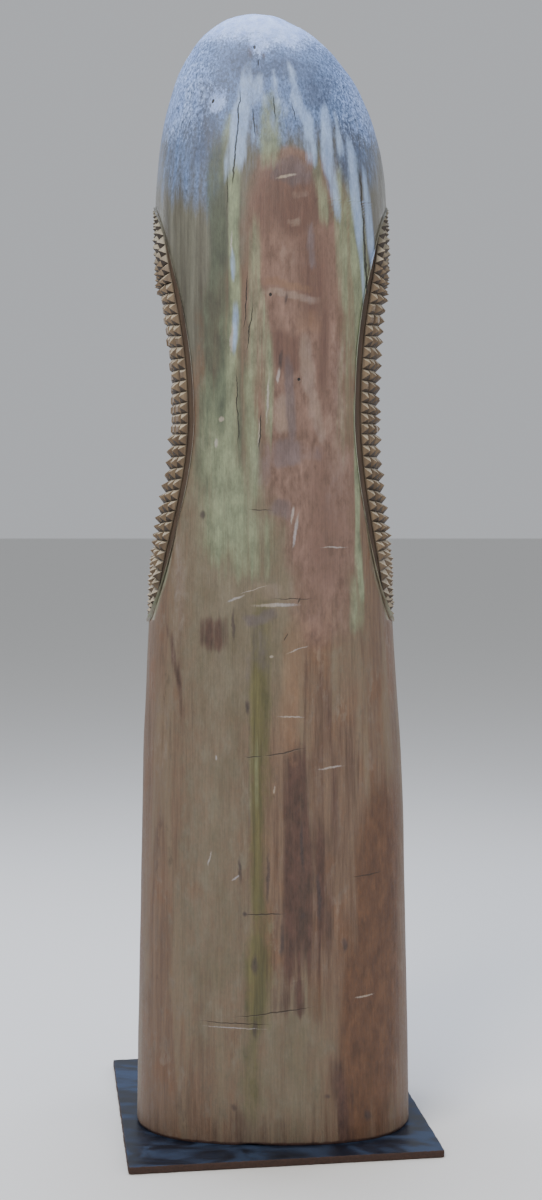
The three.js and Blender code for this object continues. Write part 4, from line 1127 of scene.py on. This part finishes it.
# Broad zones of weather on the back: x, h, reach across, reach up, strength, lean sideways. The
# sky zone carries a painted skylight tint and the rim zone a painted highlight.
ZONES = {
    "dull": [
        (60, 900, 100, 260, 0.9, 0), (90, 500, 70, 420, 0.7, 0), (-10, 130, 110, 150, 0.7, 0),
        (-120, 820, 40, 150, 0.5, 0),
    ],
    "amber": [
        (-168, 300, 40, 290, 1.1, 0), (-135, 160, 30, 190, 0.9, 0), (-112, 330, 18, 60, 0.6, 0),
        (-60, 250, 40, 60, 0.5, 0), (-110, 60, 30, 80, 0.5, 0),
    ],
    "red": [
        (-22, 570, 12, 70, 0.9, 0), (-42, 540, 26, 110, 0.8, 0), (-46, 420, 28, 140, 1.0, 0.03),
        (-30, 330, 20, 80, 0.8, 0), (-78, 420, 20, 110, 0.8, 0), (-100, 560, 30, 130, 0.5, 0),
        (-22, 235, 7, 34, 1.1, 0), (-42, 232, 8, 34, 1.1, 0), (155, 780, 6, 60, 0.8, 0.2),
        (142, 690, 6, 60, 0.6, 0.1), (-112, 60, 14, 80, 0.8, 0.1), (40, 20, 60, 34, 0.5, 0),
        (100, 815, 24, 26, 0.7, 0), (-75, 700, 22, 120, 0.5, 0),
    ],
    "heart": [
        (-30, 1460, 64, 110, 1.1, 0), (-30, 1330, 72, 120, 1.0, 0), (-48, 1150, 62, 180, 1.0, 0),
        (-75, 1000, 60, 150, 0.8, 0), (-80, 880, 60, 90, 0.6, 0),
    ],
    "rosy": [
        (-34, 1490, 52, 60, 0.9, 0), (-58, 1370, 26, 80, 0.7, 0), (-22, 1250, 34, 34, 0.8, 0),
        (-74, 1270, 8, 90, 0.7, 0), (12, 1480, 30, 60, 0.6, 0), (-84, 1010, 30, 120, 0.5, 0),
    ],
    "orange": [
        (-18, 1352, 40, 8, 0.9, 0), (-50, 1300, 26, 22, 0.6, 0), (-24, 720, 22, 110, 0.9, 0),
        (-44, 800, 40, 50, 0.6, 0), (-84, 800, 14, 70, 0.5, 0), (20, 1400, 30, 60, 0.4, 0),
    ],
    "pale": [
        (-26, 1336, 42, 7, 0.9, 0), (-52, 1228, 12, 56, 1.0, 0.1), (-66, 1160, 12, 44, 0.8, 0.25),
        (-14, 1160, 18, 30, 0.9, 0), (-100, 1150, 20, 160, 0.5, 0), (10, 880, 34, 16, 0.6, 0),
        (-36, 1460, 12, 8, 0.8, 0), (-46, 1500, 18, 6, 0.6, 0), (-30, 1400, 40, 20, 0.4, 0),
        (150, 870, 12, 100, 0.5, 0), (100, 1120, 26, 20, 0.5, 0),
    ],
    "olive": [
        (24, 560, 11, 300, 1.0, 0), (20, 760, 10, 120, 0.8, 0), (27, 260, 20, 80, 1.0, 0),
        (30, 120, 18, 90, 0.6, 0), (22, 420, 16, 120, 0.7, 0),
    ],
    "plum": [
        (-24, 1180, 8, 70, 1.0, 0.05), (-20, 1105, 24, 26, 0.9, 0), (-12, 1010, 22, 20, 0.8, 0),
        (22, 840, 30, 12, 0.8, 0), (22, 795, 10, 46, 0.7, 0), (40, 760, 10, 30, 0.5, 0),
        (-64, 1420, 6, 40, 0.9, 0), (18, 1090, 18, 40, 0.6, 0), (-30, 1530, 40, 22, 0.8, 0),
        (-66, 1100, 20, 20, 0.5, 0),
    ],
    "silver": [
        (150, 1490, 60, 270, 1.2, -0.05), (90, 1500, 60, 120, 0.9, 0),
        (-165, 1500, 28, 200, 1.1, 0), (0, 1800, 400, 300, 1.2, 0), (160, 1250, 14, 150, 0.6, 0),
    ],
    "lime": [
        (58, 1400, 9, 170, 1.0, 0), (66, 1200, 16, 120, 0.8, 0), (84, 1110, 34, 110, 0.9, 0),
        (76, 1010, 44, 80, 0.8, 0), (26, 1300, 10, 160, 0.6, 0), (32, 1130, 12, 120, 0.7, 0),
        (-104, 1420, 14, 120, 0.7, 0.05), (-134, 1350, 13, 150, 1.1, 0.05),
        (-112, 1250, 14, 160, 0.5, 0), (-131, 1040, 6, 130, 1.1, 0), (-137, 920, 6, 60, 1.0, 0.1),
        (40, 950, 44, 60, 0.6, 0), (6, 1590, 16, 60, 0.8, 0), (70, 1560, 8, 60, 0.7, 0),
        (-76, 1500, 10, 60, 0.6, 0.1), (8, 1230, 8, 120, 0.7, 0), (-130, 860, 16, 50, 0.5, 0),
        (22, 600, 8, 60, 0.5, 0), (22, 1000, 10, 120, 0.5, 0), (130, 1080, 20, 70, 0.4, 0),
    ],
    "moss": [
        (84, 1420, 15, 170, 1.1, 0), (90, 1240, 22, 120, 0.9, 0), (4, 1600, 8, 50, 0.7, 0),
        (72, 1330, 8, 80, 0.5, 0), (-70, 1545, 10, 30, 0.6, 0), (-132, 1480, 6, 80, 0.6, 0),
        (110, 1130, 18, 120, 0.6, 0), (44, 1200, 10, 160, 0.5, 0),
    ],
    # sky: grey weathered wood with a painted cool skylight tint over the dome.
    "sky": [
        (0, 1860, 420, 270, 1.3, 0), (130, 1590, 60, 110, 0.7, 0), (-130, 1600, 50, 100, 0.6, 0),
        (20, 1560, 50, 60, 0.3, 0),
    ],
    "dusk": [
        (36, 1700, 50, 34, 0.7, 0), (-20, 1690, 70, 24, 0.7, 0), (-70, 1660, 26, 30, 0.8, 0),
        (110, 1600, 26, 80, 0.7, 0), (80, 1660, 40, 30, 0.5, 0), (-120, 1560, 22, 60, 0.6, 0),
        (100, 1500, 20, 60, 0.4, 0),
    ],
    # Painted highlight round the dome's top and upper sides.
    "painted_rim_highlight": [
        (0, 1850, 420, 110, 1.2, 0), (150, 1700, 60, 120, 0.6, 0), (-150, 1700, 60, 120, 0.6, 0),
        (88, 1640, 16, 16, 0.9, 0), (20, 1750, 16, 40, 0.8, 0),
    ],
    "runs": [
        (61, 1575, 7, 68, 1.0, -0.1), (48, 1608, 8, 84, 1.1, -0.05), (22, 1655, 6, 36, 0.8, 0),
        (-1, 1638, 6, 54, 0.8, 0.03), (34, 1640, 8, 70, 0.6, 0.03), (-42, 1640, 7, 62, 0.9, 0.22),
        (-56, 1590, 9, 50, 0.9, 0.2), (-84, 1575, 8, 66, 1.1, 0.1), (-101, 1592, 5, 42, 0.9, 0.12),
        (-20, 1650, 10, 44, 0.5, 0.1), (-128, 1500, 8, 90, 1.0, 0.1),
        (-150, 1455, 6, 90, 0.9, 0.08), (-138, 1390, 4, 110, 0.7, 0.06), (58, 1290, 5, 50, 0.8, 0),
        (-92, 1510, 9, 60, 0.8, 0.1), (60, 1395, 4, 26, 0.7, 0),
    ],
}


def zone_shares(grid, field):
    """How strongly each zone holds at every point of the skin. On the back it is the strongest of
    its patches, each falling off as exp(-0.7 r^3), r^2 = across^2 + up^4, on ground that is bent
    by noise; round the other sides a plainer share by height, broken by noise."""
    bend = noise(grid, (30, 90, 110), 43)
    x = grid[..., 0] + 7 * bend
    y, h = grid[..., 1], grid[..., 2] + 14 * noise(grid, (30, 60, 70), 44)
    back = step(10, 90, y)
    wide = 0.5 + 0.5 * noise(grid, (70, 70, 240), 41)
    narrow = 0.5 + 0.5 * noise(grid, (26, 26, 260), 42)
    elsewhere = {
        "dull": 0.9 * wide * step(1400, 800, h),
        "amber": 0.8 * step(0.5, 0.8, wide) * step(700, 200, h),
        "red": 0.7 * step(0.6, 0.95, narrow) * step(900, 500, h),
        "heart": 0.6 * step(500, 1000, h) * step(0.4, 0.8, wide),
        "olive": 0.8 * step(0.7, 0.9, narrow) * step(900, 600, h),
        "silver": 1.3 * step(1250, 1500, h) + 0.5 * wide * step(600, 1300, h),
        "lime": 0.9 * step(0.55, 0.9, narrow) * step(600, 1300, h),
        "moss": 0.8 * step(0.6, 0.9, wide) * step(1000, 1500, h) * narrow,
        # sky: painted cool skylight tint on the dome's top all round, with its grey weathering.
        "sky": 1.3 * step(1500, 1640, h),
        # Painted highlight round the dome's top all round.
        "painted_rim_highlight": 0.9 * step(1600, 1780, h),
        "dusk": 0.8 * step(1500, 1600, h) * step(1720, 1640, h) * wide,
        "runs": 0.8 * step(0.62, 0.9, narrow) * step(1450, 1520, h) * step(1690, 1620, h),
    }
    shares = {}
    for name, patches in ZONES.items():
        best = np.zeros_like(x)
        for cx, ch, rx, rh, strength, lean in patches:
            across, up = (x - cx - lean * (h - ch)) / rx, (h - ch) / rh
            best = np.maximum(best, strength * np.exp(-0.7 * (across**2 + up**4) ** 1.5))
        shares[name] = back * best + (1 - back) * elsewhere.get(name, 0 * x)
    shares["heart"] = shares["heart"] * step(1580, 1552, h)
    own_x, _, own_h = np.moveaxis(grid, -1, 0)
    # The foot row gets the dark red tones as a painted contact shadow where the log meets the
    # plate.
    shares["red"] = np.maximum(shares["red"], 1.2 * (own_h < 4))
    # Pale band along the arris, strongest on the -x side and at its lower ends: partly wear, partly
    # painted highlight.
    low = step(1040, 900, h)
    near = np.clip(1.15 - from_arris(own_x, own_h) / (3.5 + 12 * low), 0, 1)
    wear_and_edge_highlight = IN_REAR * on_panel(own_h) * near * np.where(own_x < 0, 0.8, 0.5 + 0.5 * low)
    shares["wear_and_edge_highlight"] = wear_and_edge_highlight * step(1460, 1300, h)
    shares["sheltered"] = field * 1.0
    return shares


def set_share(piece, name, values):
    layer = piece.data.attributes.new(name, "FLOAT", "POINT")
    layer.data.foreach_set("value", np.asarray(values, np.float32).ravel())


# ---------------------------------------------------------------- the pieces

points, quads, tris, grid, field = log_mesh()
log = closed_mesh("log", points, quads, tris, weathered_log())
spare = len(points) - field.size
for name, values in zone_shares(grid, field).items():
    inside_value = {"sheltered": 1.0, "dull": 0.4}.get(name, 0.0)
    set_share(log, name, np.concatenate([values.ravel(), np.full(spare, inside_value)]))
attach(log, "root")
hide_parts("drum")

points, tris, level = stud_band_mesh()
studs = closed_mesh("stud_band", points, np.zeros((0, 4), int), tris, carved_studs(), sharp=18.0)
set_share(studs, "level", np.concatenate([level, np.full((len(level), 2), 0.5)], 1))
set_share(studs, "silver", step(1250, 1560, points[:, 2]))
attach(studs, "root")

points, quads, tris, rust = plate_mesh()
plate = closed_mesh("plate", points, quads, tris, waxed_steel(), sharp=50.0)
set_share(plate, "rust", rust)
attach(plate, "root")
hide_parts("base_plate")


# ---------------------------------------------------------------- the room

bpy.ops.mesh.primitive_plane_add(size=60, location=(0, 0, 0))
floor = bpy.context.object
floor.name = "floor"
pale, tree, shader = finish_of("pale_floor_paint", 0.8)
shader.inputs["Base Color"].default_value = linear("#d9d8d5")
floor.data.materials.append(pale)

world = bpy.data.worlds.new("studio")
bpy.context.scene.world = world
world.use_nodes = True
world.node_tree.nodes["Background"].inputs["Color"].default_value = linear("#e4e7ec")
world.node_tree.nodes["Background"].inputs["Strength"].default_value = 0.62

# Area lights: name, place and aim in m, size in m, power in W, tint.
for name, spot, aim, size, power, tint in (
    ("key", (1.2, 2.2, 3.6), (0, 0, 1.0), 1.6, 120, "#fffaf2"),
    ("fill", (-2.6, 2.0, 1.6), (0, 0, 0.9), 2.0, 30, "#fff6ec"),
    ("sky", (0.1, -0.5, 3.9), (0, 0, 1.5), 1.4, 120, "#d4e2ff"),
    ("left_rim", (2.0, -1.5, 1.7), (0.2, 0, 1.0), 1.0, 22, "#eef3ff"),
    ("right_rim", (-2.0, -1.5, 1.7), (-0.2, 0, 1.0), 1.0, 22, "#eef3ff"),
):
    light = bpy.data.lights.new(name, "AREA")
    light.size, light.energy = size, power
    light.color = linear(tint)[:3]
    lamp = bpy.data.objects.new(name, light)
    lamp.location = spot
    toward = np.array(aim) - np.array(spot)
    tilt = np.arctan2(np.hypot(toward[0], toward[1]), -toward[2])
    lamp.rotation_euler = (tilt, 0, np.arctan2(toward[1], toward[0]) - np.pi / 2)
    bpy.context.collection.objects.link(lamp)

# Looking at the back from about chest height, a little downwards.
CAMERA_PLACE, CAMERA_TILT = (-0.0068, 2.846, 1.062), 86.09
CAMERA_LENS, SENSOR_WIDTH = 51.34, 36
camera = bpy.data.objects.new("camera", bpy.data.cameras.new("camera"))
camera.location = CAMERA_PLACE
camera.rotation_euler = (np.radians(CAMERA_TILT), 0, np.pi)
camera.data.lens, camera.data.sensor_width = CAMERA_LENS, SENSOR_WIDTH
bpy.context.collection.objects.link(camera)
bpy.context.scene.camera = camera
